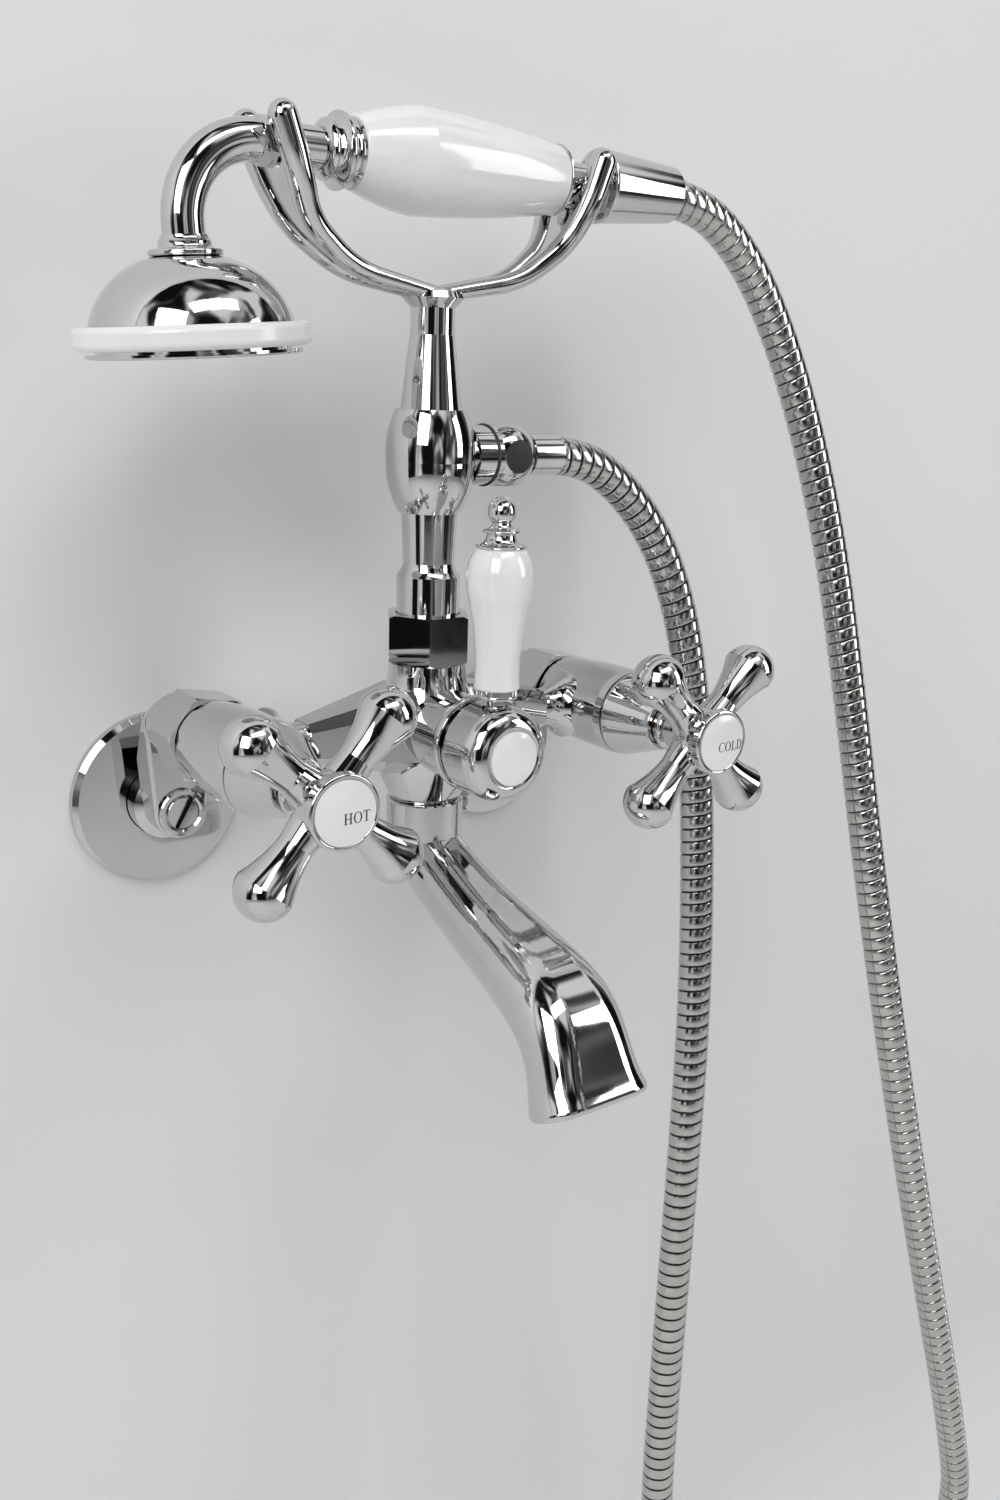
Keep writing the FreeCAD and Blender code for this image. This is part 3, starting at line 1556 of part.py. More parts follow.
def hand_shower_handle():
    elbow = doc.addObject("Part::Feature", "handset_elbow")
    elbow.Shape = elbow_tube()
    node("handset_elbow", elbow)
    spigot = S.tube_radius + S.thread_gap
    nut = turned(
        "elbow_nut_blank",
        [
            (spigot, -S.elbow_nut_front + 0.05),
            (S.elbow_nut_radius, -S.elbow_nut_front + 0.05),
            (S.elbow_nut_radius, -S.elbow_nut_back - 0.6),
            (S.elbow_nut_radius - 0.6, -S.elbow_nut_back),
            (spigot, -S.elbow_nut_back),
        ],
        HANDSET,
        TO_RIGHT,
    )
    width = S.elbow_nut_front - S.elbow_nut_back
    flats = hexagonal(
        "elbow_nut", nut, S.elbow_nut_radius, -S.elbow_nut_front, width, HANDSET, TO_RIGHT
    )
    node("elbow_nut", flats)
    collar_end = -S.front_ring_centre - 6
    tube = turned(
        "handset_tube",
        [
            (S.tube_bore, -S.elbow_nut_front + 0.05),
            (S.tube_radius, -S.elbow_nut_front + 0.05),
            (S.tube_radius, -S.elbow_nut_back + 0.05),
            (S.stub_radius, -S.elbow_nut_back + 0.05),
            (S.stub_radius, collar_end),
            (S.tube_radius, collar_end),
            (S.tube_radius, S.trumpet_front + 6),
            (S.tube_bore, S.trumpet_front + 6),
        ],
        HANDSET,
        TO_RIGHT,
    )
    node("handset_tube", tube)
    front = turned(
        "grip_front_ring",
        [
            (spigot, collar_end + 0.05),
            (S.stub_radius + 0.6, collar_end + 0.05),
            (S.front_bead_radius, -S.front_ring_centre - 4.2, 0.3),
            (S.stub_radius + 1.6, -S.front_ring_centre - 2.4, 0.4),
            (S.front_ring_radius, -S.front_ring_centre, -0.5),
            (S.front_ring_radius - 1.2, -S.front_ring_centre + 2.2, 0.5),
            (S.grip_front_radius - 1.4, -S.front_ring_centre + 3.2),
            (S.grip_front_radius, -S.grip_front - 1, -0.3),
            (S.grip_front_radius, -S.grip_front - 0.05),
            (spigot, -S.grip_front - 0.05),
        ],
        HANDSET,
        TO_RIGHT,
    )
    node("grip_front_ring", front)
    grip = turned(
        "handset_grip",
        [
            (S.grip_bore, -S.grip_front),
            (S.grip_front_radius, -S.grip_front),
            (S.grip_front_radius + 0.8, -S.grip_front + 1, 0.3),
            (S.grip_radius, S.grip_widest, 0.7),
            (S.grip_back_radius + 0.8, S.grip_back - 1, 1.0),
            (S.grip_back_radius, S.grip_back, 0.3),
            (S.grip_bore, S.grip_back),
        ],
        HANDSET,
        TO_RIGHT,
    )
    node("handset_grip", grip)
    dish_front = S.grip_back + 0.05
    dish = turned(
        "grip_rear_ring",
        [
            (spigot, dish_front),
            (S.dish_radius - 0.5, dish_front),
            (S.dish_radius, dish_front + 0.6, 0.15),
            (S.stub_radius + 0.9, dish_front + S.dish_depth, -0.9),
            (spigot, dish_front + S.dish_depth),
        ],
        HANDSET,
        TO_RIGHT,
    )
    node("grip_rear_ring", dish)
    thread_end = S.cone_nut_front + S.hose_thread_length
    tail = turned(
        "handset_tail",
        [
            (spigot, S.trumpet_front),
            (S.trumpet_radius, S.trumpet_front),
            (S.trumpet_radius, S.trumpet_back - 3.4),
            (S.hose_thread_radius, S.trumpet_back, -1.0),
            (S.hose_thread_radius, thread_end),
            (S.tube_bore, thread_end),
            (S.tube_bore, S.trumpet_front + 6.2),
            (spigot, S.trumpet_front + 6.2),
        ],
        HANDSET,
        TO_RIGHT,
    )
    node("handset_tail", tail)
    node(
        "hose_washer",
        washer_at(
            "hose_washer",
            S.tube_bore,
            S.hose_thread_radius - 0.3,
            thread_end + 0.02,
            S.washer_depth,
            HANDSET,
            TO_RIGHT,
        ),
    )
    seat = thread_end + S.washer_depth + 0.04
    cone = turned(
        "hose_cone_nut",
        [
            (S.hose_thread_radius + S.thread_gap, S.cone_nut_front),
            (S.cone_nut_front_radius - 1, S.cone_nut_front),
            (S.cone_nut_front_radius, S.cone_nut_front + 1, 0.3),
            (S.cone_nut_back_radius + 0.3, S.cone_nut_back - 1.2),
            (S.cone_nut_back_radius - 0.9, S.cone_nut_back, 0.3),
            (S.hose_end_radius + 0.05, S.cone_nut_back),
            (S.hose_end_radius + 0.05, S.cone_nut_back - S.hose_end_length),
            (S.hose_bore, S.cone_nut_back - S.hose_end_length),
            (S.hose_bore, seat),
            (S.hose_thread_radius + S.thread_gap, seat),
        ],
        HANDSET,
        TO_RIGHT,
    )
    node("hose_cone_nut", cone)


def hand_shower_head():
    socket = S.elbow_radius + S.thread_gap
    collar_top = -S.collar_top_drop
    collar_foot = -S.collar_foot_drop
    bell_foot = -S.bell_foot_drop
    ring = turned(
        "bell_ring",
        [
            (socket, collar_foot),
            (S.bell_collar_radius - 0.6, collar_foot),
            (S.bell_collar_radius, collar_foot + 0.9, 0.3),
            (S.bell_collar_radius - 0.8, collar_foot + 1.9, 0.3),
            (S.elbow_radius + 1.6, collar_top - 1.6, -1.0),
            (S.elbow_radius + 0.7, collar_top, -0.2),
            (socket, collar_top),
        ],
        HEAD,
        TO_HEAD,
    )
    node("bell_ring", ring)
    top = collar_foot - 0.05
    floor = collar_foot - S.elbow_spigot - 0.05
    thread = S.face_thread_radius + S.thread_gap
    thread_top = bell_foot + S.face_thread_length
    bell = turned(
        "spray_bell",
        [
            (thread, bell_foot),
            (S.bell_radius, bell_foot),
            (S.bell_top_radius, top, S.bell_bulge),
            (socket, top),
            (socket, floor),
            (S.elbow_bore, floor),
            (S.elbow_bore, floor - 2),
            (thread, thread_top, -(S.bell_bulge - 1.6)),
        ],
        HEAD,
        TO_HEAD,
    )
    node("spray_bell", bell)
    rose = turned(
        "spray_ring",
        [
            (S.spray_ring_bore, -S.spray_ring_drop),
            (S.spray_ring_radius - 2.2, -S.spray_ring_drop),
            (S.spray_ring_radius, -S.spray_ring_drop + 2.6, 0.8),
            (S.spray_ring_radius, bell_foot - 2.6),
            (S.spray_ring_radius - 2.2, bell_foot - 0.05, 0.8),
            (S.spray_ring_bore, bell_foot - 0.05),
        ],
        HEAD,
        TO_HEAD,
    )
    node("spray_ring", rose)
    spray_face()


def spray_face():
    """The nozzle plate, screwed into the bell through the ring."""
    top = -S.spray_ring_drop - 0.05
    thread_top = S.face_thread_length - S.bell_foot_drop - 0.5
    under = top - S.face_depth
    wall = S.face_thread_radius - 2.2
    body = turned(
        "spray_face",
        [
            (0, under),
            (S.face_radius - 0.7, under),
            (S.face_radius, under + 0.7, 0.2),
            (S.face_radius, top - S.face_slit),
            (S.face_radius - S.face_slit_depth, top - S.face_slit),
            (S.face_radius - S.face_slit_depth, top),
            (S.face_thread_radius, top),
            (S.face_thread_radius, thread_top),
            (wall, thread_top),
            (wall, top),
            (0, top),
        ],
        HEAD,
        TO_HEAD,
    )
    blank = body.Tip
    rings = []
    for ring in range(1, 4):
        sketch = sketch_on(body, f"nozzle_place_{ring}", "XY_Plane")
        sketch.AttachmentOffset = Placement(Vector(0, 0, (under - 1).value), Rotation())
        bind(sketch, "AttachmentOffset.Base.z", under - 1)
        reach = S.nozzle_pitch * ring
        hole = Part.Circle(Vector(reach.value, 0, 0), Vector(0, 0, 1), S.nozzle_radius.value)
        sketch.addGeometry(hole, False)
        along = sketch.addConstraint(Sketcher.Constraint("DistanceX", 0, 3, reach.value))
        bind(sketch, f"Constraints[{along}]", reach)
        sketch.addConstraint(Sketcher.Constraint("DistanceY", 0, 3, 0))
        size = sketch.addConstraint(Sketcher.Constraint("Radius", 0, S.nozzle_radius.value))
        bind(sketch, f"Constraints[{size}]", S.nozzle_radius)
        pocket = body.newObject("PartDesign::Pocket", f"nozzle_{ring}")
        pocket.Profile = sketch
        pocket.Reversed = True
        bind(pocket, "Length", S.face_depth + 2)
        doc.recompute()
        pattern = body.newObject("PartDesign::PolarPattern", f"nozzle_ring_{ring}")
        pattern.Originals = [pocket]
        pattern.Axis = (sketch, ["N_Axis"])
        pattern.Angle = 360
        pattern.Occurrences = 6 * ring
        body.Tip = pattern
        rings.append(pattern)
        doc.recompute()
        if pattern.Shape.Volume > blank.Shape.Volume - 1:
            raise RuntimeError("the nozzles cut nothing")
    node("spray_face", body)


def rounded_rectangle(half_width, half_depth, corner):
    """Eight sides, counter-clockwise: four flats and four corner arcs."""
    sag = corner * (1 - math.sqrt(0.5))
    across = half_width - corner
    along = half_depth - corner
    return [
        (-across, -half_depth, sag),
        (across, -half_depth),
        (half_width, -along, sag),
        (half_width, along),
        (across, half_depth, sag),
        (-across, half_depth),
        (-half_width, along, sag),
        (-half_width, -along),
    ]


def spout_skin(name, inset):
    sections = []
    for section in SPOUT_SECTIONS:
        reach, height, half_width, half_depth, slope = (
            getattr(S, f"spout_{section}_{measure}") for measure in SPOUT_MEASURES
        )
        corner = S.spout_roundness * half_depth - inset * S.spout_roundness
        outline = rounded_rectangle(half_width - inset, half_depth - inset, corner)
        turn = Rotation(Vector(1, 0, 0), 90 + slope.value)
        sections.append((outline, (0, -reach, height), turn))
    return loft(name, sections)


def round_lip(skin):
    """The spout's skin with the outer edge of its mouth rounded."""
    doc.recompute()
    mouth = min(skin.Shape.Faces, key=lambda face: face.CenterOfMass.z)
    lip = doc.addObject("Part::Fillet", "spout_lip")
    lip.Base = skin
    radius = sheet.spout_lip
    lip.Edges = [
        (index, radius, radius)
        for index, edge in enumerate(skin.Shape.Edges, start=1)
        if any(edge.isSame(other) for other in mouth.Edges)
    ]
    doc.recompute()
    return lip


def spout():
    boss = turned(
        "spout_boss",
        [
            (0, S.spout_boss_bottom),
            (S.spout_boss_radius - 3, S.spout_boss_bottom),
            (S.spout_boss_radius, S.spout_boss_bottom + 3, 0.9),
            (S.spout_boss_radius, S.spout_boss_top - 0.5),
            (S.spout_boss_radius - 0.5, S.spout_boss_top),
            (S.hub_foot_radius + 1.2, S.spout_boss_top),
            (S.hub_foot_radius + 1.2, S.hub_foot - S.turning_gap),
            (0, S.hub_foot - S.turning_gap),
        ],
        COLUMN,
    )
    outside = fused("spout_outside", [boss, round_lip(spout_skin("spout_skin", as_size(0)))])
    bottom = S.hub_foot - S.spout_thread_length - S.turning_gap
    socket = turned(
        "spout_socket",
        [
            (0, bottom),
            (S.spout_thread_radius + S.thread_gap, bottom),
            (S.spout_thread_radius + S.thread_gap, S.hub_foot - S.turning_gap),
            (S.hub_foot_radius + 1.2, S.hub_foot - S.turning_gap),
            (S.hub_foot_radius + 1.2, S.spout_boss_top + 8),
            (0, S.spout_boss_top + 8),
        ],
        COLUMN,
    )
    grub = cylinder(
        "spout_screw_hole",
        S.grub_screw_radius + S.thread_gap,
        S.spout_boss_radius,
        (0, -S.column_reach, S.spout_groove_height),
        Rotation(Vector(1, 0, 0), -90),
    )
    hollow = fused("spout_hollow", [spout_skin("spout_bore", S.spout_wall), socket, grub])
    node("spout", cut("spout", outside, hollow))
    groove = S.spout_thread_radius - S.spout_groove_depth
    screw = turned(
        "spout_grub_screw",
        [
            (0, groove + S.turning_gap),
            (S.grub_screw_radius - 0.5, groove + S.turning_gap),
            (S.grub_screw_radius, groove + S.turning_gap + 0.5),
            (S.grub_screw_radius, S.spout_boss_radius - 0.6),
            (0, S.spout_boss_radius - 0.6),
        ],
        (0, -S.column_reach, S.spout_groove_height),
        Rotation(Vector(1, 0, 0), -90),
    )
    node("spout_grub_screw", screw)
    ring = doc.addObject("Part::Torus", "spout_seal")
    bind(ring, "Radius1", S.spout_thread_radius - S.seal_thickness / 2)
    bind(ring, "Radius2", S.seal_thickness / 2 - 0.04)
    place(ring, (0, -S.column_reach, S.spout_seal_height))
    node("spout_seal", ring)


# The hose's way, by hand: from the outlet elbow down to the loop's foot, with heights taken from the
# outlet's axis, and from there up to the hand shower, with heights taken from the hand shower's axis.
HOSE_DOWN = (
    (41.3, -68, 0),
    (65.5, -68, 0),
    (87, -68.5, -12),
    (105, -71, -32),
    (117, -75, -61),
    (122.5, -81.5, -101),
    (121.5, -90, -157),
    (117, -100, -227),
    (109, -108, -307),
    (103, -113, -394),
    (99, -117, -479),
    (111, -122, -551),
    (150, -130, -595),
    (205, -141, -607),
)
HOSE_UP = (
    (256, -151, -678),
    (281, -157, -627),
    (265, -156, -567),
    (238, -147, -470),
    (216, -133, -368),
    (203, -116, -272),
    (195, -101, -192),
    (189, -88, -130),
    (177, -76.5, -76),
    (160, -70, -37),
    (139, -68, -12.5),
    (114, -68, 0),
    (90.3, -68, 0),
)


def spots_along(path, distances):
    """The point and direction of the path at each distance from its start, in rising order."""
    edges = path.OrderedEdges
    index = 0
    passed = 0.0
    spots = []
    for distance in distances:
        while index < len(edges) - 1 and distance > passed + edges[index].Length:
            passed += edges[index].Length
            index += 1
        edge = edges[index]
        parameter = edge.getParameterByLength(min(distance - passed, edge.Length))
        spots.append((edge.valueAt(parameter), edge.tangentAt(parameter)))
    return spots


def ring_across(spot, radius):
    """A circle square to the way, with its own X axis kept as near the wall's normal as it can be."""
    point, heading = spot
    circle = Part.Wire(Part.makeCircle(radius))
    circle.Placement = Placement(point, Rotation(Vector(0, 1, 0), Vector(), heading, "ZXY"))
    return circle


def shower_hose():
    points = [
        Vector(x, y, z + height)
        for part, height in ((HOSE_DOWN, sheet.outlet_height), (HOSE_UP, sheet.handset_height))
        for x, y, z in part
    ]
    radii = arc_radii(points)
    print("hose radii", " ".join(f"{radius:.0f}" for radius in radii))
    path = rounded_route(points, radii)
    plain = sheet.hose_end_length
    count = int(sheet.hose_ribs)
    pitch = (path.Length - 2 * plain) / count
    root = sheet.hose_radius - sheet.rib_depth
    marks = [(0.0, sheet.hose_end_radius), (plain, sheet.hose_end_radius)]
    for rib in range(count):
        start = plain + rib * pitch
        marks += [
            (start + 0.10 * pitch, root),
            (start + 0.22 * pitch, sheet.hose_radius),
            (start + 0.78 * pitch, sheet.hose_radius),
            (start + 0.90 * pitch, root),
        ]
    marks += [
        (path.Length - plain, sheet.hose_end_radius),
        (path.Length, sheet.hose_end_radius),
    ]
    spots = spots_along(path, [distance for distance, _ in marks])
    rings = [ring_across(spot, radius) for spot, (_, radius) in zip(spots, marks)]
    skin = Part.makeLoft(rings, True, True)
    bore = path.makePipeShell([ring_across(spots[0], sheet.hose_bore)], True, False)
    section = math.pi * sheet.hose_bore ** 2
    ratio = bore.Volume / section / path.Length
    print("hose length", round(path.Length), "bore volume ratio", round(ratio, 4))
    hose = doc.addObject("Part::Feature", "shower_hose")
    hose.Shape = skin.cut(bore)
    node("shower_hose", hose)


for hand, _, side in SIDES:
    wall_flange(f"wall_flange_{hand}", side)
    swing_arm(f"swing_arm_{hand}", side)
    stop_ring(f"stop_ring_{hand}", side)
    stop_screw(f"stop_screw_{hand}", side)
    union_nut(f"union_nut_{hand}", side)
union_washers()
mixer_body()
taps()
diverter_cartridge()
diverter_knob()
diverter_lever()
riser()
hose_outlet()
cradle()
hand_shower_handle()
hand_shower_head()
spout()
shower_hose()

doc.recompute()
os.makedirs("parts", exist_ok=True)
for thing in doc.Objects:
    if "Invalid" in thing.State or "Error" in thing.State:
        raise RuntimeError(f"{thing.Label}: {thing.State}")
for thing in nodes:
    if thing.Shape.isNull() or not thing.Shape.isValid():
        raise RuntimeError(f"{thing.Label} is not valid")
    thing.Shape.exportStep(f"parts/{thing.Label}.step")
print(len(nodes), "nodes")
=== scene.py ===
"""Looks of a wall-fixed bath faucet with a hand shower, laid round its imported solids."""

import math

import bmesh
import bpy
from bpy.props import FloatProperty, FloatVectorProperty, IntProperty, PointerProperty
from bpy.props import StringProperty
from mathutils import Matrix, Vector
from mathutils.bvhtree import BVHTree

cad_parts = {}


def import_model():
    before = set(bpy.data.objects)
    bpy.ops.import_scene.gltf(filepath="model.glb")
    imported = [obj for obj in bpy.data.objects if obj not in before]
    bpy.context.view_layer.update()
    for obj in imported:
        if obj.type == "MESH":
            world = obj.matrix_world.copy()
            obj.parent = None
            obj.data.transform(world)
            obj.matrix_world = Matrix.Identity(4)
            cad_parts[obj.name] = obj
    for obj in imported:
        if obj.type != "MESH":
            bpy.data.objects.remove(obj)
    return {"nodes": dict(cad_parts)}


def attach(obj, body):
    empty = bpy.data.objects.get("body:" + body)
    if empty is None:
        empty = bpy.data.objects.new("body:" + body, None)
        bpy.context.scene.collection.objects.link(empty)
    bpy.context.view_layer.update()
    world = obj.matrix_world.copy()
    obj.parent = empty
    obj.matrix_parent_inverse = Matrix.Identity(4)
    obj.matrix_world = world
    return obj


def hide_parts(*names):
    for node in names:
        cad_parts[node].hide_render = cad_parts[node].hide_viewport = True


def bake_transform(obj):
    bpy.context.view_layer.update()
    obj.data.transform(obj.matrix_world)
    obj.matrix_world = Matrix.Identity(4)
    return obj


bl_info = {
    "name": "Bath Faucet Looks",
    "version": (1, 0, 0),
    "blender": (4, 5, 0),
    "location": "View3D > Sidebar > Faucet",
    "description": "Chrome, porcelain, a wound metal hose and a plain studio for a bath faucet",
    "category": "Object",
}

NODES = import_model()["nodes"]
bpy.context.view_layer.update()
MM = 0.001

CHROME_NODES = (
    "wall_flange_left", "wall_flange_right", "swing_arm_left", "swing_arm_right",
    "stop_ring_left", "stop_ring_right", "stop_screw_left", "stop_screw_right",
    "union_nut_left", "union_nut_right", "mixer_body", "hot_bonnet", "cold_bonnet",
    "hot_handle", "cold_handle", "hot_index_ring", "cold_index_ring", "diverter_knob",
    "lever_stem", "lever_finial", "riser_column", "riser_nut", "cradle", "outlet_nipple",
    "outlet_elbow", "hose_ferrule", "handset_elbow", "elbow_nut", "handset_tail",
    "handset_tube", "grip_front_ring", "grip_rear_ring", "hose_cone_nut", "bell_ring",
    "spray_bell", "spout", "spray_face",
)
PORCELAIN_NODES = ("hot_button", "cold_button", "diverter_button", "lever_grip", "handset_grip")
BRASS_NODES = (
    "hot_cartridge", "cold_cartridge", "hot_spindle", "cold_spindle",
    "diverter_cartridge", "diverter_spindle",
)
STEEL_NODES = ("hot_handle_screw", "cold_handle_screw", "spout_grub_screw", "cradle_grub_screw")
RUBBER_NODES = ("union_washers", "riser_washer", "outlet_seal", "hose_washer", "spout_seal")

# The hose's way from the outlet on the column to the nut on the hand shower, in millimetres.
HOSE_ROUTE = (
    (41.3, -68, 129), (65.5, -68, 129), (87, -68.5, 117), (105, -71, 97), (117, -75, 68),
    (122.5, -81.5, 28), (121.5, -90, -28), (117, -100, -98), (109, -108, -178),
    (103, -113, -265), (99, -117, -350), (111, -122, -422), (150, -130, -466),
    (205, -141, -478), (256, -151, -456), (281, -157, -405), (265, -156, -345),
    (238, -147, -248), (216, -133, -146), (203, -116, -50), (195, -101, 30),
    (189, -88, 92), (177, -76.5, 146), (160, -70, 185), (139, -68, 209.5),
    (114, -68, 222), (90.3, -68, 222),
)
# Where each word stands on its button, in millimetres: left end, right end and foot.
WORD_PLACES = {
    "hot": ("hot_button", "hot_tap", -77.5, -68.3, 30.6),
    "cold": ("cold_button", "cold_tap", 73.7, 85.8, 30.8),
}
LETTER_GAP = 0.07  # between two letters, as a share of their height
# One turn of the hose's strip: share of the pitch, and share of the groove's depth, which also
# sets the strip's painted shade.
STRIP_SECTION = (
    (0.0, 1.0), (0.05, 1.0), (0.09, 0.1), (0.16, 0.0),
    (0.5, 0.0), (0.82, 0.02), (0.93, 0.25), (1.0, 1.0),
)
WELD_SHARE = 0.012  # of the pitch: how near two turns' points are to become one
SHARP_ANGLE = math.radians(50)  # past this, the edges of the strip look sharp

# The camera's place in metres, and its turn, tilt down and lean in degrees.
CAMERA_PLACE = (-0.2615, -0.4649, 0.1588)
CAMERA_TURN = 36.674
CAMERA_TILT = 15.801
CAMERA_LEAN = 1.868

# The backdrop's sizes in metres, and the gap between it and the flanges.
WALL_HALF_WIDTH = 2.5
WALL_HEIGHT = 2.0
WALL_BEND = 0.12
WALL_GAP = 0.0002
FLOOR_DEPTH = 3.6

# Each lamp's name, place, target, width and height in metres, and its share of the light.
LAMPS = (
    ("window_lamp", (-1.4, -1.1, 1.0), (0, -0.1, 0), (1.0, 1.3), 2.9),
    ("fill_lamp", (1.5, -1.4, 0.6), (0, -0.1, 0), (0.6, 1.4), 1.5),
    ("ceiling_lamp", (0.1, -1.3, 1.9), (0, -0.1, -0.1), (1.8, 0.5), 1.7),
)
WORLD_TONE = (0.72, 0.72, 0.725, 1)

# The dim dome: radius in metres, glow, stretch and turn of its pattern, and its grey tones.
ROOM_RADIUS = 3.4
ROOM_GLOW = 0.9
ROOM_STRETCH = (1.5, 1.5, 0.7)
ROOM_TURN = (0.25, 0.1, 0.6)
ROOM_TONES = ((0.45, 0.008), (0.50, 0.06), (0.555, 0.16), (0.60, 0.55), (0.68, 0.95))


class FaucetFinishes(bpy.types.PropertyGroup):
    """Colours of the faucet's finishes."""

    chrome: FloatVectorProperty(
        name="Chrome", description="What the polished plate reflects", subtype="COLOR",
        size=3, min=0, max=1, default=(0.64, 0.645, 0.65))
    hose: FloatVectorProperty(
        name="Hose", description="What the hose's brushed strip reflects", subtype="COLOR",
        size=3, min=0, max=1, default=(0.56, 0.553, 0.535))
    porcelain: FloatVectorProperty(
        name="Porcelain", description="White of the glazed parts", subtype="COLOR",
        size=3, min=0, max=1, default=(0.86, 0.86, 0.855))
    ring: FloatVectorProperty(
        name="White ring", description="White of the shower head's ring", subtype="COLOR",
        size=3, min=0, max=1, default=(0.84, 0.84, 0.83))
    brass: FloatVectorProperty(
        name="Brass", description="Brass of the parts inside", subtype="COLOR",
        size=3, min=0, max=1, default=(0.72, 0.52, 0.24))
    steel: FloatVectorProperty(
        name="Steel", description="Steel of the screws", subtype="COLOR",
        size=3, min=0, max=1, default=(0.50, 0.50, 0.49))
    rubber: FloatVectorProperty(
        name="Rubber", description="Rubber of the seals", subtype="COLOR",
        size=3, min=0, max=1, default=(0.025, 0.025, 0.025))
    letters: FloatVectorProperty(
        name="Letters", description="Ink of the two words", subtype="COLOR",
        size=3, min=0, max=1, default=(0.012, 0.012, 0.014))


class FaucetHose(bpy.types.PropertyGroup):
    """Sizes of the wound metal hose."""

    diameter: FloatProperty(
        name="Diameter", description="Outside of the hose", unit="LENGTH",
        default=14 * MM)
    pitch: FloatProperty(
        name="Pitch", description="From one turn of the strip to the next", unit="LENGTH",
        default=5.3 * MM)
    groove: FloatProperty(
        name="Groove", description="Depth of the groove between two turns", unit="LENGTH",
        default=0.65 * MM)
    end_diameter: FloatProperty(
        name="End diameter", description="Outside of the ends in their fittings",
        unit="LENGTH", default=12 * MM)
    end_length: FloatProperty(
        name="End length", description="Length of each end in its fitting", unit="LENGTH",
        default=13.2 * MM)
    sides: IntProperty(
        name="Sides", description="Sides round the hose", default=30, min=8)
    length: FloatProperty(
        name="Length", description="Real length of the hose", unit="LENGTH", default=1.517)


class FaucetWords(bpy.types.PropertyGroup):
    """Words on the two porcelain buttons."""

    hot: StringProperty(name="Hot", description="Word on the hot button", default="HOT")
    cold: StringProperty(name="Cold", description="Word on the cold button", default="COLD")
    height: FloatProperty(
        name="Height", description="Height of the capitals", unit="LENGTH",
        default=3.4 * MM)
    thickness: FloatProperty(
        name="Thickness", description="How far the ink stands on the glaze", unit="LENGTH",
        default=0.05 * MM)


class FaucetStudio(bpy.types.PropertyGroup):
    """The camera, the wall and the light."""

    lens: FloatProperty(
        name="Lens", description="Focal length for a 36 mm long side, in mm", default=32.38)
    wall: FloatVectorProperty(
        name="Wall", description="Colour of the wall and floor", subtype="COLOR",
        size=3, min=0, max=1, default=(0.80, 0.80, 0.80))
    floor_drop: FloatProperty(
        name="Floor", description="How far the floor lies below the faucet", unit="LENGTH",
        default=0.62)
    soft_light: FloatProperty(
        name="Soft light", description="Watts that each lamp's share is multiplied by",
        default=6.6)


def finishes():
    return bpy.context.scene.faucet_finishes


class Material:
    """A node material, with short calls for what its finish needs."""

    def __init__(self, name):
        self.material = bpy.data.materials.new(name)
        self.material.use_nodes = True
        self.nodes = self.material.node_tree.nodes
        self.links = self.material.node_tree.links
        self.shader = self.nodes["Principled BSDF"]

    def set(self, **sockets):
        for name, value in sockets.items():
            self.shader.inputs[name.replace("_", " ")].default_value = value
        return self

    def node(self, kind, **settings):
        made = self.nodes.new(kind)
        for name, value in settings.items():
            setattr(made, name, value)
        return made

    def noise(self, scale, detail=3.0, roughness=0.5, distortion=0.0):
        """Noise over the object's own coordinates, in metres."""
        place = self.node("ShaderNodeTexCoord")
        noise = self.node("ShaderNodeTexNoise")
        noise.inputs["Scale"].default_value = scale
        noise.inputs["Detail"].default_value = detail
        noise.inputs["Roughness"].default_value = roughness
        noise.inputs["Distortion"].default_value = distortion
        self.links.new(place.outputs["Object"], noise.inputs["Vector"])
        return noise.outputs["Fac"]

    def span(self, value, low, high, start=0.35, end=0.65):
        """Turns a value from start..end into low..high."""
        ranged = self.node("ShaderNodeMapRange")
        self.links.new(value, ranged.inputs["Value"])
        ranged.inputs["From Min"].default_value = start
        ranged.inputs["From Max"].default_value = end
        ranged.inputs["To Min"].default_value = low
        ranged.inputs["To Max"].default_value = high
        return ranged.outputs["Result"]

    def mix(self, factor, first, second):
        mixed = self.node("ShaderNodeMix", data_type="RGBA")
        self.links.new(factor, mixed.inputs["Factor"])
        for socket, colour in ((mixed.inputs[6], first), (mixed.inputs[7], second)):
            if isinstance(colour, bpy.types.NodeSocket):
                self.links.new(colour, socket)
            else:
                socket.default_value = (*colour, 1)
        return mixed.outputs[2]

    def colour(self, socket):
        self.links.new(socket, self.shader.inputs["Base Color"])
        return self

    def rough(self, socket):
        self.links.new(socket, self.shader.inputs["Roughness"])
        return self

    def bump(self, value, distance, strength=1.0):
        bump = self.node("ShaderNodeBump")
        bump.inputs["Distance"].default_value = distance
        bump.inputs["Strength"].default_value = strength
        self.links.new(value, bump.inputs["Height"])
        self.links.new(bump.outputs["Normal"], self.shader.inputs["Normal"])
        return self


def shade(colour, factor):
    """The colour, darker or lighter by a factor."""
    return tuple(channel * factor for channel in colour)


def polished_chrome():
    """Bright plate with faint wipe marks and the slight waviness of polished brass."""
    colour = tuple(finishes().chrome)
    chrome = Material("polished_chrome").set(Metallic=1.0)
    smears = chrome.noise(38, detail=4, roughness=0.55, distortion=0.6)
    chrome.colour(chrome.mix(chrome.span(smears, 0, 1), shade(colour, 0.94), colour))
    chrome.rough(chrome.span(smears, 0.025, 0.075))
    chrome.bump(chrome.noise(45, detail=1.5), 0.07 * MM, strength=0.5)
    return chrome.material


